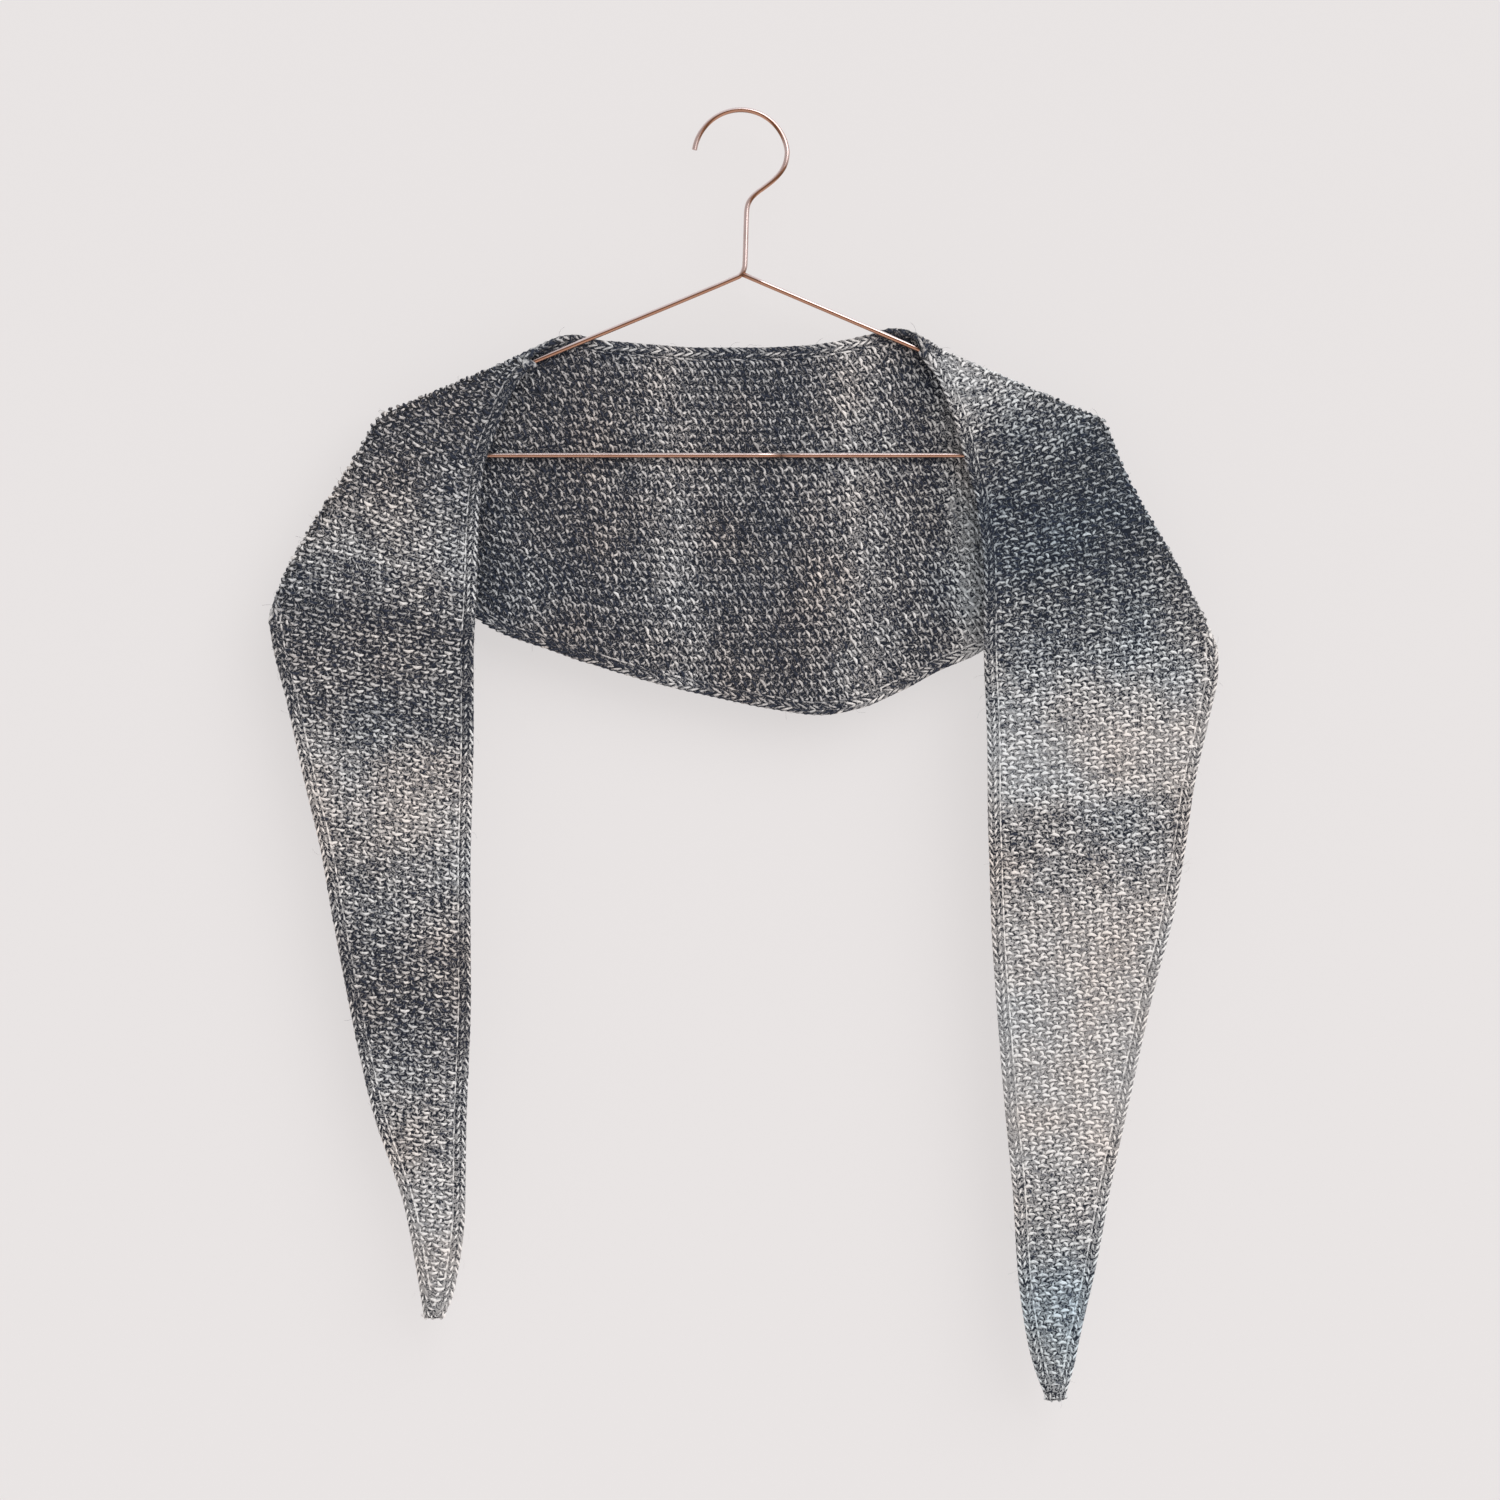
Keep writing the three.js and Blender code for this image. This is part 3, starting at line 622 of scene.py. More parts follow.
@dataclass(frozen=True)
class YarnFinish:
    """Matte two-ply wool, one ply dark and the other light."""

    name: str
    dark: Colour = colour(0.195, 0.212, 0.258)
    light: Colour = colour(0.965, 0.95, 0.93)
    wander: float = 1.0
    sharpness: float = 0.42
    warm: Colour = colour(1.0, 0.975, 0.963)
    cool: Colour = colour(0.952, 0.976, 1.0)
    blue: Colour = colour(0.9, 0.962, 1.0)
    roughness: float = 0.95
    specular: float = 0.15
    sheen: float = 0.06
    sheen_roughness: float = 0.5
    ply_depth: float = 0.0003
    ply_strength: float = 0.7

    def material(self, group: NodeTree) -> Material:
        """Build the material.

        Args:
            group: The marled yarn's shader group.

        Returns:
            The material.
        """
        material, tree = new_material(self.name)
        marl = tree.node("ShaderNodeGroup", node_tree=group)
        values = {
            "Light": tree.attribute("light"),
            "Twist": tree.attribute("twist"),
            "Wander": self.wander,
            "Sharpness": self.sharpness,
            "Dark Ply": self.dark,
            "Light Ply": self.light,
            "Warm Tint": self.warm,
            "Cool Tint": self.cool,
            "Blue Tint": self.blue,
        }
        for name, value in values.items():
            tree.feed(marl.inputs[name], value)
        height = marl.outputs["Height"]
        relief = {"Strength": self.ply_strength, "Distance": self.ply_depth, "Height": height}
        wool = {
            "Base Color": marl.outputs["Color"],
            "Roughness": self.roughness,
            "Specular IOR Level": self.specular,
            "Sheen Weight": self.sheen,
            "Sheen Roughness": self.sheen_roughness,
            "Normal": tree.node("ShaderNodeBump", relief),
        }
        shader = tree.node("ShaderNodeBsdfPrincipled", wool)
        tree.node("ShaderNodeOutputMaterial", {"Surface": shader})
        return material


@dataclass(frozen=True)
class CopperFinish:
    """Copper-plated finish with a painted highlight on top, painted shade in brown below, and a little
    clouded.
    """

    name: str = "copper_plating"
    # Colours from the underside to the top of the wire: painted shade in browns below, a painted
    # near-white highlight on top.
    painted_light_bands: tuple[tuple[float, Colour], ...] = (
        (0.0, colour(0.42, 0.34, 0.31)),
        (0.16, colour(0.8, 0.63, 0.54)),
        (0.36, colour(0.84, 0.65, 0.55)),
        (0.48, colour(0.45, 0.3, 0.2)),
        (0.57, colour(0.62, 0.45, 0.36)),
        (0.66, colour(1.0, 0.96, 0.97)),
        (0.93, colour(1.0, 0.97, 0.98)),
        (1.0, colour(0.78, 0.7, 0.68)),
    )
    cloud: Colour = colour(0.9, 0.86, 0.84)
    cloud_scale: float = 60.0
    cloud_detail: float = 3.0
    drawn_scale: float = 900.0
    drawn_detail: float = 2.0
    drawn_depth: float = 0.0001
    drawn_strength: float = 0.2
    roughness: Pair = (0.34, 0.16)

    def plating_and_painted_light(self, tree: Tree) -> Socket:
        """Add the ramp that paints highlight and shade on the wire by how far it faces up.

        Args:
            tree: The material's tree.

        Returns:
            The colour.
        """
        painted_light = tree.spread(tree.attribute("painted_light"), (-1.0, 1.0))
        ramp = tree.node("ShaderNodeValToRGB", {0: painted_light})
        stops = ramp.color_ramp.elements
        for number, (at, tone) in enumerate(self.painted_light_bands):
            stop = stops[number] if number < len(stops) else stops.new(at)
            stop.position = at
            stop.color = tone
        return ramp.outputs[0]

    def material(self) -> Material:
        """Build the material."""
        material, tree = new_material(self.name)
        place = tree.node("ShaderNodeTexCoord").outputs["Object"]
        cloud = tree.noise(place, self.cloud_scale, self.cloud_detail)
        drawn = tree.noise(place, self.drawn_scale, self.drawn_detail)
        relief = {"Strength": self.drawn_strength, "Distance": self.drawn_depth, "Height": drawn}
        metal = {
            "Base Color": tree.mix(cloud, self.plating_and_painted_light(tree), self.cloud, "MULTIPLY"),
            "Metallic": 1.0,
            "Roughness": tree.spread(cloud, end=self.roughness),
            "Normal": tree.node("ShaderNodeBump", relief),
        }
        shader = tree.node("ShaderNodeBsdfPrincipled", metal)
        tree.node("ShaderNodeOutputMaterial", {"Surface": shader})
        return material


def placed(name: str, data: bpy.types.ID) -> Piece:
    """Make an object of some data and put it in the scene."""
    made = bpy.data.objects.new(name, data)
    bpy.context.collection.objects.link(made)
    return made


def mesh_piece(name: str, points: Array, faces: list[tuple[int, ...]]) -> Piece:
    """Make an object at the origin from points in millimetres.

    Args:
        name: The object's name.
        points: One point in each row.
        faces: The numbers of each face's points, or none for points alone.

    Returns:
        The object, smooth shaded.
    """
    mesh = bpy.data.meshes.new(name)
    mesh.from_pydata((points * MM).tolist(), [], faces)
    mesh.shade_smooth()
    return placed(name, mesh)


def give_numbers(piece: Piece, name: str, values: Array) -> None:
    """Store a number or a vector for each point of a mesh.

    Args:
        piece: The object.
        name: The attribute's name.
        values: One number for each point, or one row of three.
    """
    kind, slot = ("FLOAT", "value") if values.ndim == 1 else ("FLOAT_VECTOR", "vector")
    attribute = piece.data.attributes.new(name, kind, "POINT")
    attribute.data.foreach_set(slot, np.ascontiguousarray(values, np.float32).ravel())


def start_growth(name: str, sizes: dict[str, float]) -> tuple[Tree, Outputs]:
    """Start a Geometry Nodes tree that grows yarn on a mesh.

    Args:
        name: The tree's name.
        sizes: Its named sizes, with their defaults.

    Returns:
        The tree, and what it is given.
    """
    tree = Tree(bpy.data.node_groups.new(name, "GeometryNodeTree"))
    tree.tree.is_modifier = True
    tree.socket("Geometry", "Geometry", True)
    for size, default in sizes.items():
        tree.socket(size, "Int" if isinstance(default, int) else "Float", True, default)
    tree.socket("Yarn", "Material", True)
    tree.socket("Geometry", "Geometry", False)
    return tree, tree.node("NodeGroupInput").outputs


def end_growth(tree: Tree, laid: bpy.types.Node, yarn: Socket) -> NodeTree:
    """End a tree: make its instances real and smooth, and give them their material.

    Args:
        tree: The tree.
        laid: The node that laid the instances.
        yarn: Their material.

    Returns:
        The finished tree.
    """
    real = tree.node("GeometryNodeRealizeInstances", {0: laid})
    smooth = tree.node("GeometryNodeSetShadeSmooth", {"Geometry": real})
    dressed = tree.node("GeometryNodeSetMaterial", {"Geometry": smooth, "Material": yarn})
    tree.node("NodeGroupOutput", {"Geometry": dressed})
    return tree.tree


def stitch_tree() -> NodeTree:
    """Build the tree that lays one short arc of yarn on every point of a mesh.

    Returns:
        The tree. Its points carry row_way, out_way and half_size vectors.
    """
    tree, given = start_growth("yarn_arcs", {"Sides": 6, "Rings": 4, "Arch": 1.0, "Dip": 0.6})
    ball = tree.node("GeometryNodeMeshUVSphere", {"Segments": given["Sides"], "Rings": given["Rings"]})
    named = tree.node(
        "GeometryNodeStoreNamedAttribute",
        {"Geometry": ball.outputs["Mesh"], "Name": "yarn", "Value": ball.outputs["UV Map"]},
        data_type="FLOAT2",
        domain="CORNER",
    )
    lying = tree.node(
        "GeometryNodeTransform", {"Geometry": named, "Rotation": (0.0, math.pi / 2, 0.0)}
    )
    where = tree.node("GeometryNodeInputPosition")
    lengthwise = tree.node("ShaderNodeSeparateXYZ", {0: where}).outputs["X"]
    square = tree.math("MULTIPLY", lengthwise, lengthwise)
    lift = tree.math("MULTIPLY", tree.math("SUBTRACT", 0.5, square), given["Arch"])
    sink = tree.math("MULTIPLY", tree.math("SUBTRACT", 0.0, square), given["Dip"])
    offset = tree.node("ShaderNodeCombineXYZ", {"Y": lift, "Z": sink})
    arched = tree.node("GeometryNodeSetPosition", {"Geometry": lying, "Offset": offset})
    row_way, out_way, half_size = (
        tree.node("GeometryNodeInputNamedAttribute", {"Name": name}, data_type="FLOAT_VECTOR")
        for name in ("row_way", "out_way", "half_size")
    )
    turned = tree.node(
        "FunctionNodeAxesToRotation", {0: out_way, 1: row_way}, primary_axis="Z", secondary_axis="X"
    )
    laid = tree.node(
        "GeometryNodeInstanceOnPoints",
        {
            "Points": given["Geometry"],
            "Instance": arched,
            "Rotation": turned,
            "Scale": half_size,
        },
    )
    return end_growth(tree, laid, given["Yarn"])


def grown(piece: Piece, tree: NodeTree, inputs: dict[str, Any]) -> Piece:
    """Run a tree on a piece and keep its result as a plain mesh.

    Args:
        piece: The object that the tree starts from.
        tree: The Geometry Nodes tree.
        inputs: The tree's named inputs.

    Returns:
        The same object, with the new mesh and no modifier.
    """
    modifier = piece.modifiers.new(tree.name, "NODES")
    modifier.node_group = tree
    for socket in tree.interface.items_tree:
        if socket.item_type == "SOCKET" and socket.name in inputs:
            modifier[socket.identifier] = inputs[socket.name]
    bpy.context.view_layer.update()
    depsgraph = bpy.context.evaluated_depsgraph_get()
    evaluated = piece.evaluated_get(depsgraph)
    mesh = bpy.data.meshes.new_from_object(evaluated, preserve_all_data_layers=True, depsgraph=depsgraph)
    piece.modifiers.clear()
    piece.data = mesh
    mesh.name = piece.name
    return piece


@dataclass(frozen=True)
class StrayFibres:
    """Short bent fibres on both sides of the cloth, in metres. density is for a square metre."""

    density: float = 7000.0
    length: float = 0.0062
    thickness: float = 0.0001
    middle: Triple = (0.15, 0.0, 0.6)
    end: Triple = (0.85, 0.0, 0.65)
    bends: int = 2
    sides: int = 3
    lean: float = 0.4
    stretch: Pair = (0.5, 1.2)

    def fibre(self, tree: Tree, given: Outputs) -> Socket:
        """Add the nodes that make one fibre, one unit long.

        Args:
            tree: The fibres' tree.
            given: What it is given.

        Returns:
            The fibre.
        """
        line = tree.node(
            "GeometryNodeCurveQuadraticBezier",
            {"Resolution": self.bends, "Start": (0.0, 0.0, 0.0), "Middle": self.middle, "End": self.end},
        )
        ring = tree.node("GeometryNodeCurvePrimitiveCircle", {"Resolution": self.sides, "Radius": 0.5})
        thin = tree.math("DIVIDE", given["Thickness"], given["Length"])
        section = tree.node("GeometryNodeTransform", {"Geometry": ring, "Scale": thin})
        parts = {"Curve": line, "Profile Curve": section, "Fill Caps": True}
        return tree.node("GeometryNodeCurveToMesh", parts).outputs[0]

    def tree(self) -> NodeTree:
        """Build the tree that scatters the fibres.

        Returns:
            The tree, with how many fibres there are on a square metre, their length and thickness.
        """
        sizes = {"Density": self.density, "Length": self.length, "Thickness": self.thickness}
        tree, given = start_growth("stray_fibres", sizes)
        roots = tree.node(
            "GeometryNodeDistributePointsOnFaces",
            {"Mesh": given["Geometry"], "Density": given["Density"], "Seed": SEED},
        ).outputs
        spin = tree.node(
            "FunctionNodeRandomValue",
            {0: (-self.lean, -self.lean, 0.0), 1: (self.lean, self.lean, 2 * math.pi), "Seed": SEED},
            data_type="FLOAT_VECTOR",
        )
        turned = tree.node(
            "FunctionNodeRotateRotation", {0: roots["Rotation"], 1: spin}, rotation_space="LOCAL"
        )
        least, most = self.stretch
        draw = {2: least, 3: most, "Seed": SEED + 1}
        longer = tree.node("FunctionNodeRandomValue", draw, data_type="FLOAT").outputs[1]
        laid = tree.node(
            "GeometryNodeInstanceOnPoints",
            {
                "Points": roots["Points"],
                "Instance": self.fibre(tree, given),
                "Rotation": turned,
                "Scale": tree.math("MULTIPLY", longer, given["Length"]),
            },
        )
        return end_growth(tree, laid, given["Yarn"])

    def grow(self, ground: Piece, yarn: Material) -> Piece:
        """Grow the fibres on a copy of the ground's mesh.

        Args:
            ground: The thin cloth under the stitches.
            yarn: The fibres' material.

        Returns:
            The piece.
        """
        fibres = placed("stray_fibres", ground.data.copy())
        fibres.data.materials.clear()
        return grown(fibres, self.tree(), {"Yarn": yarn})


def closed_wall(name: str, middles: Array, outs: Array, halves: Array) -> Piece:
    """Make a closed wall on both sides of a grid of points.

    Args:
        name: The object's name.
        middles: The grid of middle points, by row and column.
        outs: The way out of the cloth at each.
        halves: Half the wall's thickness in each column.

    Returns:
        The wall.
    """
    rows, columns = middles.shape[:2]
    offset = outs * halves[None, :, None]
    points = np.vstack([(middles + offset).reshape(-1, 3), (middles - offset).reshape(-1, 3)])
    top = np.arange(rows * columns).reshape(rows, columns)
    low = top + rows * columns
    faces = []
    for i in range(rows - 1):
        for j in range(columns - 1):
            faces.append((top[i, j], top[i + 1, j], top[i + 1, j + 1], top[i, j + 1]))
            faces.append((low[i, j], low[i, j + 1], low[i + 1, j + 1], low[i + 1, j]))
        faces.append((top[i, 0], low[i, 0], low[i + 1, 0], top[i + 1, 0]))
        faces.append((top[i, -1], top[i + 1, -1], low[i + 1, -1], low[i, -1]))
    for j in range(columns - 1):
        faces.append((top[0, j], top[0, j + 1], low[0, j + 1], low[0, j]))
        faces.append((top[-1, j], low[-1, j], low[-1, j + 1], top[-1, j + 1]))
    return mesh_piece(name, points, [tuple(int(k) for k in face) for face in faces])


class Stitches:
    """Places where arcs of yarn lie, with their ways, half sizes and lights."""

    def __init__(self) -> None:
        """Start with no stitch."""
        self.laid: list[tuple[Array, ...]] = []

    def add(
        self, places: Array, row_ways: Array, out_ways: Array, half_sizes: Array,
        lights: Array,
    ) -> None:
        """Add some stitches.

        Args:
            places: The middle of each stitch.
            row_ways: The way that each arc of yarn runs.
            out_ways: The way out of the cloth at each.
            half_sizes: Half of each arc's length, width and height.
            lights: How much of the light ply shows in each.
        """
        self.laid.append((places, row_ways, out_ways, half_sizes, lights))

    def piece(self, name: str, twists: np.random.Generator) -> Piece:
        """Make a mesh of points alone, with what each stitch needs.

        Args:
            name: The object's name.
            twists: Draws how far the yarn is twisted in each stitch.

        Returns:
            The object.
        """
        places, row_ways, out_ways, half_sizes, lights = map(np.concatenate, zip(*self.laid, strict=True))
        piece = mesh_piece(name, places, [])
        give_numbers(piece, "row_way", row_ways)
        give_numbers(piece, "out_way", out_ways)
        give_numbers(piece, "half_size", half_sizes * MM)
        give_numbers(piece, "light", lights)
        give_numbers(piece, "twist", twists.random(len(places)))
        return piece


@dataclass(frozen=True)
class Arc:
    """One kind of arc of yarn: half its size, how far it stands off the cloth, how it slants, and its
    painted shade, added to how light its yarn is drawn.
    """

    half: Triple
    lift: float
    slant: float
    shade: float


@dataclass(frozen=True)
class ArcStyle:
    """How arcs are laid: by which tree, of which yarn, and how they bend.

    arch is how far an arc bends in the cloth, in half widths, and dip how far its ends sink
    into it, in half heights.
    """

    tree: NodeTree
    yarn: Material
    arch: float
    dip: float


@dataclass
class KnittedShawl:
    """The shawl: a thin ground drawn darker as painted shade between the stitches, moss stitches on both
    of its sides, and braids along its edges.
    """

    shape: ShawlShape
    stitch_width: float = 4.75
    row_pitch: float = 2.7
    least_stitch: float = 0.35
    braid_width: float = 7.0
    least_row_over_rim: float = 2.2
    rim_shares: tuple[float, ...] = (0.0, 0.12, 0.5, 0.9)
    rim_halves: tuple[float, ...] = (0.6, 1.5, 1.5, 1.5)
    ground_half: float = 0.8
    ground_row_step: float = 5.5
    ground_columns: int = 44
    purl: Arc = Arc((3.1, 1.08, 0.95), 1.05, 0.0, 0.0)
    # The knit legs sit low between the bumps and are drawn a little darker: painted shade.
    leg: Arc = Arc((2.0, 0.9, 0.85), 0.62, 0.97, -0.02)
    inner_lean: float = 0.55
    inner_slimness: float = 0.9
    inner_shade: float = 0.02
    ground_shade: float = 0.1
    uneven_turn: float = 0.11
    uneven_size: float = 0.09
    uneven_place: float = 0.16
    hidden_rows: tuple[Pair, ...] = ((405.0, 520.0), (870.0, 965.0))
    rows_in_a_piece: int = 103
    row_streak: float = 0.04
    patch_streak: float = 0.06
    stitch_speck: float = 0.08
    patch_stitches: int = 6

    def __post_init__(self) -> None:
        """Fix the chance that the yarn's colours depend on, and read the stripes."""
        self.chance = np.random.default_rng(SEED)
        stripes = named_rows(STRIPE_COLUMNS, STRIPES)
        self.stripe_places = [stripe["along"] for stripe in stripes]
        self.stripe_lights = [stripe["light"] for stripe in stripes]

    def light(self, along: float) -> float:
        """Return how much of the light ply shows in a row."""
        return float(np.interp(along, self.stripe_places, self.stripe_lights))

    def ground(self) -> Piece:
        """Build the thin cloth under the stitches, drawn darker than them as painted shade in the gaps.
        """
        rows = np.arange(0, LONG_EDGE, self.ground_row_step).tolist() + [LONG_EDGE]
        inside = np.linspace(0, 1, self.ground_columns)
        rim = np.array(self.rim_shares)
        middles, outs, lights = [], [], []
        for along in rows:
            length = self.shape.row(along).length
            width = min(self.braid_width, length / self.least_row_over_rim)
            panel = width + inside * (length - 2 * width)
            distances = np.concatenate([rim * width, panel, length - rim[::-1] * width])
            patch = self.shape.patch(along, distances)
            middles.append(patch.places)
            outs.append(patch.out)
            # Painted shade: the ground is drawn darker than its row's stitches.
            lights.append(np.full(len(distances), self.light(along) - self.ground_shade))
        panel_halves = np.full(self.ground_columns, self.ground_half)
        halves = np.concatenate([self.rim_halves, panel_halves, self.rim_halves[::-1]])
        piece = closed_wall("shawl_ground", np.array(middles), np.array(outs), halves)
        give_numbers(piece, "light", np.tile(np.concatenate(lights), 2))
        return piece

    def row_lights(self, along: float, count: int) -> Array:
        """Draw how light each stitch of a row is.

        Args:
            along: The row's distance from the left tip.
            count: How many stitches it has.

        Returns:
            One share of the light ply for each stitch.
        """
        patches = self.chance.normal(0, self.patch_streak, count // self.patch_stitches + 2)
        at = np.arange(count) / self.patch_stitches + self.chance.random()
        streak = np.interp(at, np.arange(len(patches)), patches)
        whole = self.chance.normal(0, self.row_streak)
        speck = self.chance.normal(0, self.stitch_speck, count)
        return self.light(along) + whole + streak + speck

    def lay(self, stitches: Stitches, along: float, columns: Array, lights: Array,
            side: Side, arc: Arc) -> None:
        """Lay one arc of yarn in some of a row's stitches.

        Args:
            stitches: The stitches laid so far.
            along: The row's distance from the left tip.
            columns: The numbers of the stitches, counted from the long edge.
            lights: How light each is.
            side: The side of the cloth.
            arc: The kind of arc.
        """
        amount = len(columns)
        shift = self.chance.normal(0, self.uneven_place, (2, amount))
        distances = self.braid_width + (columns + 0.5) * self.stitch_width + shift[0]
        patch = self.shape.patch(along, distances)
        out = patch.out * side.value
        up = np.cross(out, patch.across)
        slants = self.chance.choice([-arc.slant, arc.slant], amount)
        lean = self.inner_lean if side is Side.INNER and arc is self.purl else 0.0
        turn = (slants + lean + self.chance.normal(0, self.uneven_turn, amount))[:, None]
        ways = patch.across * np.cos(turn) + up * np.sin(turn)
        sizes = np.array(arc.half) * (1 + self.chance.normal(0, self.uneven_size, (amount, 1)))
        if side is Side.INNER:
            sizes[:, 1] *= self.inner_slimness
        places = patch.places + out * arc.lift + up * shift[1][:, None]
        shade = arc.shade + (self.inner_shade if side is Side.INNER else 0.0)
        stitches.add(places, ways, out, sizes, lights + shade)

    def moss(self, first_row: int, last_row: int, side: Side) -> Stitches:
        """Lay the purl bumps of moss stitch on one side of some rows, and a knit leg between them.

        Args:
            first_row: The first row's number.
            last_row: One more than the last row's.
            side: The side of the cloth.

        Returns:
            The stitches.
        """
        stitches = Stitches()
        for number in range(first_row, last_row):
            along = (number + 0.5) * self.row_pitch
            panel = self.shape.row(along).length - 2 * self.braid_width
            count = math.ceil(panel / self.stitch_width - self.least_stitch)
            if count < 1:
                continue
            columns = np.arange(count)
            lights = self.row_lights(along, count)
            purl = (columns + number + (side is Side.INNER)) % 2 == 0
            self.lay(stitches, along, columns[purl], lights[purl], side, self.purl)
            hidden = any(low < along < high for low, high in self.hidden_rows)
            if side is Side.OUTER or not hidden:
                self.lay(stitches, along, columns[~purl], lights[~purl], side, self.leg)
        return stitches

    def dress(self, stitches: Stitches, name: str, style: ArcStyle) -> Piece:
        """Turn stitches into one piece of yarn arcs.

        Args:
            stitches: Where the arcs lie.
            name: The piece's name.
            style: How they are laid.

        Returns:
            The piece.
        """
        piece = stitches.piece(name, self.chance)
        return grown(piece, style.tree, {"Arch": style.arch, "Dip": style.dip, "Yarn": style.yarn})

    def pieces(self, style: ArcStyle) -> list[Piece]:
        """Knit both sides of the cloth, in pieces of some rows each.

        Args:
            style: How the arcs are laid.

        Returns:
            The pieces.
        """
        made = []
        row_count = int(LONG_EDGE / self.row_pitch)
        for side in Side:
            for number, first in enumerate(range(0, row_count, self.rows_in_a_piece), 1):
                last = min(first + self.rows_in_a_piece, row_count)
                name = f"moss_{side.name.lower()}_{number}"
                made.append(self.dress(self.moss(first, last, side), name, style))
        return made

    def edge_patch(self, border: Border, along: float, inset: float) -> tuple[Patch, Array]:
        """Find a place near an edge of the shawl.

        Args:
            border: The edge.
            along: The row's distance from the left tip.
            inset: The place's distance from the edge.

        Returns:
            The place, and the way that leads from the edge into the cloth.
        """
        length = self.shape.row(along).length
        inset = min(inset, length / 2)
        if border is Border.LONG:
            patch = self.shape.patch(along, np.array([inset]))
            return patch, patch.across
        patch = self.shape.patch(along, np.array([length - inset]))
        return patch, -patch.across


@dataclass
class EdgeBraid:
    """A column of slipped stitches along an edge: a braid of Vs and one straight chain beside it."""

    shawl: KnittedShawl
    border: Border
    pitch: float = 4.6
    pitch_inset: float = 1.0
    branch_half: Triple = (4.2, 1.15, 2.2)
    branches: tuple[Pair, ...] = ((1.5, 0.38), (4.3, -0.38))
    chain_half: Triple = (3.4, 0.8, 2.1)
    chain_inset: float = 7.0
    chain_least_row: float = 21.0
    brightness: float = 1.22
    curl_half: Triple = (2.0, 1.2, 1.6)
    curl_shares: tuple[float, ...] = (0.0, 0.2, 0.4, 0.6, 0.8, 1.0)
    curl_turn: float = 1.1
    curl_inset: float = 1.2

    def place(self, along: float, inset: float) -> Array:
        """Return the place on a row at a distance from the edge."""
        return self.shawl.edge_patch(self.border, along, inset)[0].places[0]

    def along_way(self, along: float, inset: float) -> Array:
        """Return the way that the edge runs at a row."""
        step = self.pitch / 2
        way = self.place(min(along + step, LONG_EDGE), inset) - self.place(max(along - step, 0), inset)
        return way / np.linalg.norm(way)

    def rows(self) -> Array:
        """Space the stitches evenly over the edge's own length."""
        fine = np.arange(0.0, LONG_EDGE, self.pitch / 4)
        places = np.array([self.place(along, self.pitch_inset) for along in fine])
        lengths = np.concatenate([[0.0], np.cumsum(np.linalg.norm(np.diff(places, axis=0), axis=1))])
        count = int(lengths[-1] / self.pitch)
        return np.interp((np.arange(count) + 0.5) * lengths[-1] / count, lengths, fine)

    def lights(self, along: float, amount: int) -> Array:
        """Draw how light some stitches of a row are."""
        specks = self.shawl.chance.normal(0, self.shawl.stitch_speck, amount)
        return self.shawl.light(along) * self.brightness + specks

    def curls(self, stitches: Stitches) -> None:
        """Close both tips of the shawl with a few loose curls of yarn.

        Args:
            stitches: The stitches laid so far.
        """
        amount = len(self.curl_shares)
        sizes = np.tile(self.curl_half, (amount, 1))
        for along in (self.curl_inset, LONG_EDGE - self.curl_inset):
            distances = np.array(self.curl_shares) * self.shawl.shape.row(along).length
            patch = self.shawl.shape.patch(along, distances)
            turn = self.shawl.chance.normal(0, self.curl_turn, (amount, 1))
            ways = np.cross(patch.out, patch.across) * np.cos(turn) + patch.across * np.sin(turn)
            stitches.add(patch.places, ways, patch.out, sizes, self.lights(along, amount))

    def lay(self, stitches: Stitches, along: float, inset: float, slant: float, half: Triple) -> None:
        """Lay one stitch of the braid.

        Args:
            stitches: The stitches laid so far.
            along: The row's distance from the left tip.
            inset: The stitch's distance from the edge.
            slant: How far it leans into the cloth, in radians.
            half: Half its size.
        """
        patch, inward = self.shawl.edge_patch(self.border, along, inset)
        ways = self.along_way(along, inset) * math.cos(slant) + inward * math.sin(slant)
        stitches.add(patch.places, ways, patch.out, np.array([half]), self.lights(along, 1))

    def stitches(self) -> Stitches:
        """Lay the braid's stitches."""
        stitches = Stitches()
        if self.border is Border.LONG:
            self.curls(stitches)
        for along in self.rows():
            for inset, slant in self.branches:
                self.lay(stitches, along, inset, slant, self.branch_half)
            if self.shawl.shape.row(along).length >= self.chain_least_row:
                self.lay(stitches, along, self.chain_inset, 0.0, self.chain_half)
        return stitches

    def piece(self, style: ArcStyle) -> Piece:
        """Braid the edge with arcs of this style."""
        return self.shawl.dress(self.stitches(), f"braid_{self.border.value}", style)


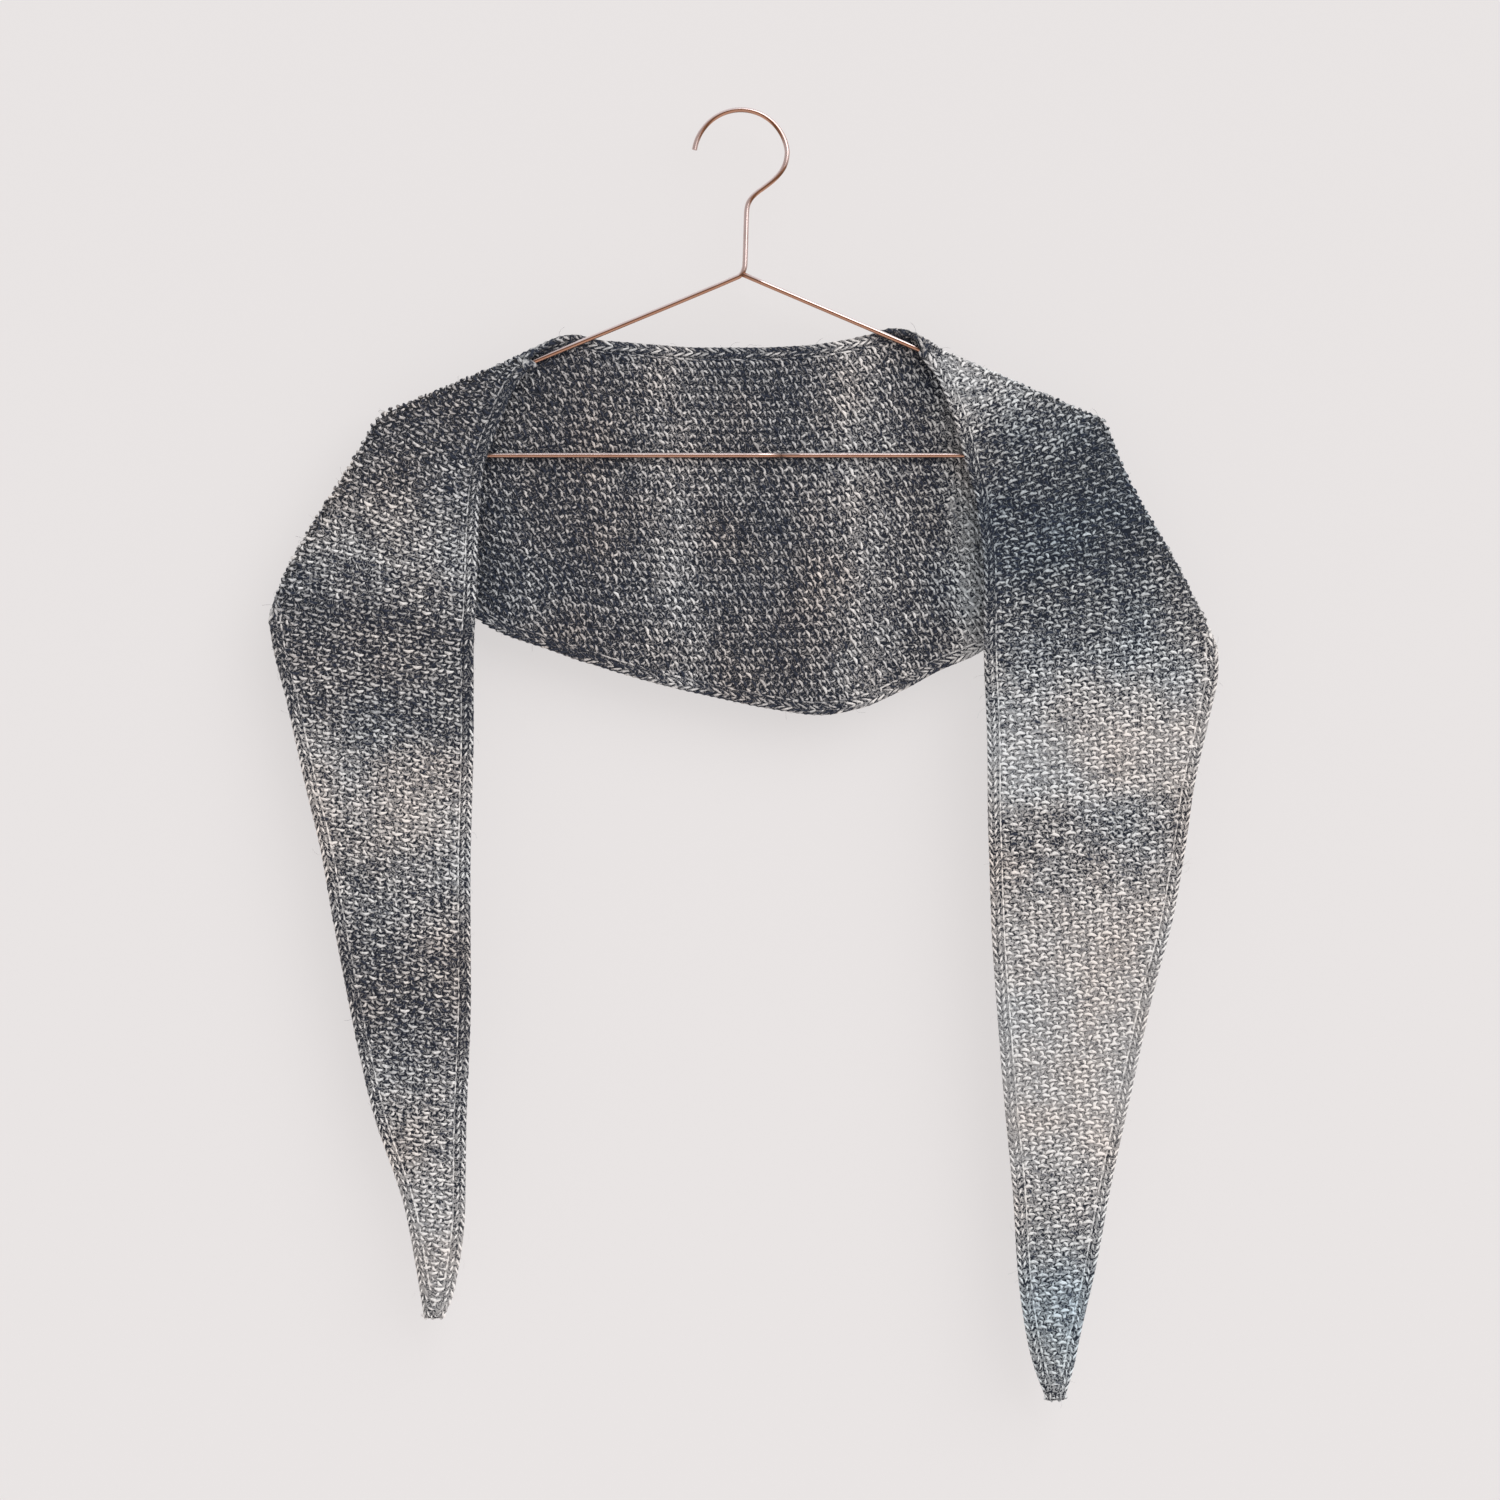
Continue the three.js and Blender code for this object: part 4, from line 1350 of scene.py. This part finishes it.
@dataclass
class WireHanger:
    """A hanger bent from one wire, whose end is welded on at the apex of its frame."""

    wire_radius: float = 1.5
    sides: int = 16
    hook_centre: Pair = (-3.6, -25.5)
    hook_radius: float = 27.0
    hook_degrees: Pair = (172.0, 4.0)
    hook_stations: int = 22
    neck: tuple[Pair, ...] = (
        (22.4, -29.2), (20.4, -33.4), (16.4, -38.2), (10.6, -42.8), (5.0, -46.8), (1.4, -50.6),
        (-0.1, -55.2), (-0.4, -60.5), (-1.1, -87.4), (-1.5, -90.2), (-2.8, -93.0), (-5.6, -95.6),
    )
    weld: Pair = (-3.0, -93.3)
    bar_height: float = -197.9
    bar_join: float = 20.0
    left_end: Triple = (-199.7, 10.9, 22.34)
    right_end: Triple = (193.0, 10.1, 23.07)
    end_stations: int = 14
    smoothings: int = 2
    corner_cut: float = 0.25
    # Painted light given to upright parts of the wire, which face neither up nor down.
    upright_painted_light: float = 0.24

    def hook(self) -> Array:
        """Return the hook's stations from its tip to the neck."""
        angles = np.radians(np.linspace(*self.hook_degrees, self.hook_stations))
        x = self.hook_centre[0] + self.hook_radius * np.cos(angles)
        z = self.hook_centre[1] + self.hook_radius * np.sin(angles)
        return np.column_stack([x, z])

    def bend(self, end: Triple, side: int) -> Array:
        """Return the stations of the bend from an arm round to the lower bar.

        Args:
            end: The bend's middle, its radius and the arm's slope in degrees.
            side: -1 for the left end, 1 for the right one.

        Returns:
            One station in each row.
        """
        middle, radius, slope = end
        top = math.pi / 2 - math.radians(slope)
        angles = np.linspace(top, -math.pi / 2, self.end_stations)
        x = middle + side * radius * np.cos(angles)
        z = self.bar_height + radius + radius * np.sin(angles)
        return np.column_stack([x, z])

    def smoothed(self, stations: Array) -> Array:
        """Cut the corners of a line of stations."""
        for _ in range(self.smoothings):
            first = stations[:-1] * (1 - self.corner_cut) + stations[1:] * self.corner_cut
            second = stations[:-1] * self.corner_cut + stations[1:] * (1 - self.corner_cut)
            inner = np.stack([first, second], axis=1).reshape(-1, 2)
            stations = np.vstack([stations[:1], inner, stations[-1:]])
        return stations

    def painted_light_by_facing(self, ways: Array, upward: Array) -> Array:
        """Say how far the wire faces up, which sets its painted highlight on top and painted shade below.

        Args:
            ways: The way of the wire at each station.
            upward: How far each point of the section faces up, from -1 to 1.

        Returns:
            One number from -1 to 1 for each point.
        """
        steep = ways[:, 1:] ** 2
        return ((1 - steep) * upward + steep * self.upright_painted_light).ravel()

    def tube(
        self, stations: Array, first: int
    ) -> tuple[Array, list[tuple[int, ...]], Array]:
        """Sweep the wire's round section along stations in the plane of the hanger.

        Args:
            stations: Where the wire runs.
            first: The number of its first point in the whole mesh.

        Returns:
            The points, the faces and the painted light of each point.
        """
        ways = np.gradient(stations, axis=0)
        ways /= np.linalg.norm(ways, axis=1, keepdims=True)
        normals = np.column_stack([-ways[:, 1], ways[:, 0]])
        angles = np.linspace(0, 2 * math.pi, self.sides, endpoint=False)
        across = self.wire_radius * np.cos(angles)
        flat = stations[:, None, :] + across[None, :, None] * normals[:, None, :]
        depth = np.broadcast_to(self.wire_radius * np.sin(angles), flat.shape[:2])
        points = np.stack([flat[..., 0], depth, flat[..., 1]], axis=-1).reshape(-1, 3)
        faces = []
        for i in range(len(stations) - 1):
            for j in range(self.sides):
                after = (j + 1) % self.sides
                ring, following = first + i * self.sides, first + (i + 1) * self.sides
                faces.append((ring + j, ring + after, following + after, following + j))
        faces.append(tuple(first + j for j in reversed(range(self.sides))))
        last = first + (len(stations) - 1) * self.sides
        faces.append(tuple(last + j for j in range(self.sides)))
        painted_light = self.painted_light_by_facing(ways, np.cos(angles)[None, :] * normals[:, 1:])
        return points, faces, painted_light

    def build(self, copper: Material) -> Piece:
        """Build the wire with its weld.

        Args:
            copper: The wire's material.

        Returns:
            The hanger.
        """
        middle = np.array([[self.bar_join, self.bar_height]])
        left = np.vstack([self.hook(), np.array(self.neck), self.bend(self.left_end, -1), middle])
        right = np.vstack([np.array([self.weld]), self.bend(self.right_end, 1), middle])
        left_points, left_faces, left_painted_light = self.tube(self.smoothed(left), 0)
        right_points, right_faces, right_painted_light = self.tube(self.smoothed(right), len(left_points))
        points = np.vstack([left_points, right_points])
        piece = mesh_piece("hanger", points, left_faces + right_faces)
        give_numbers(piece, "painted_light", np.concatenate([left_painted_light, right_painted_light]))
        piece.data.materials.append(copper)
        return piece


@dataclass
class Studio:
    """The camera that stands where the photograph was taken, the light, the wall and the floor."""

    image_middle: Pair = (0.0017, -0.368)
    image_width: float = 0.8655
    distance: float = 2.4
    sensor: float = 36.0
    floor_height: float = -1.25
    room_size: float = 6.0
    wall_depth: float = 0.036
    wall_colour: Colour = colour(0.885, 0.873, 0.872)
    wall_glow: Colour = colour(0.914, 0.899, 0.896)
    wall_glow_share: float = 0.75
    world_strength: float = 0.82
    sun_way: Triple = (0.5, -0.8, 0.5)
    sun_strength: float = 1.7
    sun_angle: float = 0.95
    back_power: float = 18.0
    back_size: float = 1.8
    back_place: Triple = (0.3, 1.9, 0.8)

    def camera(self) -> None:
        """Place the camera straight in front."""
        data = bpy.data.cameras.new("photo_camera")
        data.sensor_width = self.sensor
        data.lens = self.sensor * self.distance / self.image_width
        camera = placed("photo_camera", data)
        camera.location = (self.image_middle[0], -self.distance, self.image_middle[1])
        camera.rotation_euler = (math.pi / 2, 0, 0)
        bpy.context.scene.camera = camera

    def lamp(self, data: bpy.types.Light, place: Vector) -> None:
        """Hang a light that faces the middle of the shawl.

        Args:
            data: The light.
            place: Where it hangs.
        """
        lamp = placed(data.name, data)
        lamp.location = place
        way = Vector((0.0, 0.0, self.image_middle[1])) - place
        lamp.rotation_euler = way.to_track_quat("-Z", "Y").to_euler()

    def lights(self) -> None:
        """Light the front softly from the upper right, and the back a little."""
        sun = bpy.data.lights.new("window_light", "SUN")
        sun.energy = self.sun_strength
        sun.angle = self.sun_angle
        self.lamp(sun, Vector(self.sun_way) + Vector((0.0, 0.0, self.image_middle[1])))
        back = bpy.data.lights.new("back_light", "AREA")
        back.energy = self.back_power
        back.size = self.back_size
        self.lamp(back, Vector(self.back_place))

    def paint(self, name: str) -> tuple[Material, Tree, Socket]:
        """Start a plain painted material.

        Args:
            name: The material's name.

        Returns:
            The material, its tree and its diffuse shader's output.
        """
        material, tree = new_material(name)
        shader = tree.node("ShaderNodeBsdfDiffuse", {"Color": self.wall_colour})
        return material, tree, shader.outputs[0]

    def panel(self, name: str, corners: list[Triple], material: Material) -> Piece:
        """Put up one flat panel of the room, which isn't part of the object.

        Args:
            name: The panel's name.
            corners: Its four corners.
            material: Its material.

        Returns:
            The panel.
        """
        panel = mesh_piece(name, np.array(corners) / MM, [(0, 1, 2, 3)])
        panel.data.materials.append(material)
        return panel

    def floor(self) -> None:
        """Lay a plain pale floor well below the tails."""
        material, tree, paint = self.paint("pale_floor")
        tree.node("ShaderNodeOutputMaterial", {"Surface": paint})
        half = self.room_size / 2
        z = self.floor_height
        corners = [(-half, -half, z), (half, -half, z), (half, half, z), (-half, half, z)]
        self.panel("floor", corners, material)

    def wall(self) -> None:
        """Stand a pale, faintly lit wall behind the shawl, which cannot be seen from behind."""
        material, tree, paint = self.paint("pale_wall")
        behind = tree.node("ShaderNodeNewGeometry").outputs["Backfacing"]
        clear = tree.node("ShaderNodeBsdfTransparent")
        glow = tree.node("ShaderNodeEmission", {"Color": self.wall_glow})
        front = tree.node("ShaderNodeMixShader", {0: self.wall_glow_share, 1: paint, 2: glow})
        seen = tree.node("ShaderNodeMixShader", {0: behind, 1: front, 2: clear})
        tree.node("ShaderNodeOutputMaterial", {"Surface": seen})
        half = self.room_size / 2
        y = self.wall_depth
        low = self.floor_height
        corners = [(-half, y, low), (half, y, low), (half, y, half), (-half, y, half)]
        wall = self.panel("wall", corners, material)
        wall.visible_shadow = False

    def world(self) -> None:
        """Fill the room with pale, even light."""
        world = bpy.data.worlds.new("pale_room")
        world.use_nodes = True
        background = world.node_tree.nodes["Background"]
        background.inputs["Color"].default_value = self.wall_colour
        background.inputs["Strength"].default_value = self.world_strength
        bpy.context.scene.world = world
        bpy.context.scene.view_settings.view_transform = "Standard"

    def build(self) -> None:
        """Set up the whole studio."""
        self.camera()
        self.lights()
        self.floor()
        self.wall()
        self.world()


CLOTH_NODES = (
    "left_tail", "right_tail", "back_panel", "left_tail_inner_edge", "back_top_edge",
    "right_tail_inner_edge", "left_tail_outer_edge", "back_lower_edge", "right_tail_outer_edge",
)


def add_piece(piece: Piece) -> None:
    """Let a piece ride on the object and report it."""
    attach(piece, BODY)
    log.info("%s: %d faces", piece.name, len(piece.data.polygons))


def build_hanger() -> None:
    """Build the hanger in place of its solid."""
    hanger = WireHanger().build(CopperFinish().material())
    add_piece(hanger)
    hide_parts("hanger_wire")


def build_shawl() -> None:
    group = MarledYarn().group()
    tree = stitch_tree()
    # The ground's plies are darker than the stitches': painted shade in the gaps between stitches.
    ground_yarn_painted_shade = YarnFinish(
        "ground_wool_painted_shade", colour(0.15, 0.163, 0.195), colour(0.66, 0.65, 0.64), wander=5.0, sharpness=0.8
    ).material(group)
    moss_yarn = YarnFinish("moss_wool", wander=1.3).material(group)
    braid_yarn = YarnFinish("braid_wool").material(group)
    fibre_yarn = YarnFinish("stray_wool", wander=0.5, sharpness=0.5).material(group)
    shawl = KnittedShawl(ShawlShape())
    ground = shawl.ground()
    ground.data.materials.append(ground_yarn_painted_shade)
    add_piece(ground)
    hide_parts(*CLOTH_NODES)
    moss = shawl.pieces(ArcStyle(tree, moss_yarn, arch=1.1, dip=0.4))
    braid_style = ArcStyle(tree, braid_yarn, arch=0.0, dip=0.3)
    braids = [EdgeBraid(shawl, border).piece(braid_style) for border in Border]
    fibres = StrayFibres().grow(ground, fibre_yarn)
    for piece in moss:
        add_piece(piece)
    for piece in braids:
        add_piece(piece)
    add_piece(fibres)


def main() -> None:
    """Build the camera and the room, the hanger and the shawl, in that order."""
    logging.basicConfig(level=logging.INFO, format="%(name)s: %(message)s")
    Studio().build()
    build_hanger()
    build_shawl()


if __name__ == "__main__":
    main()
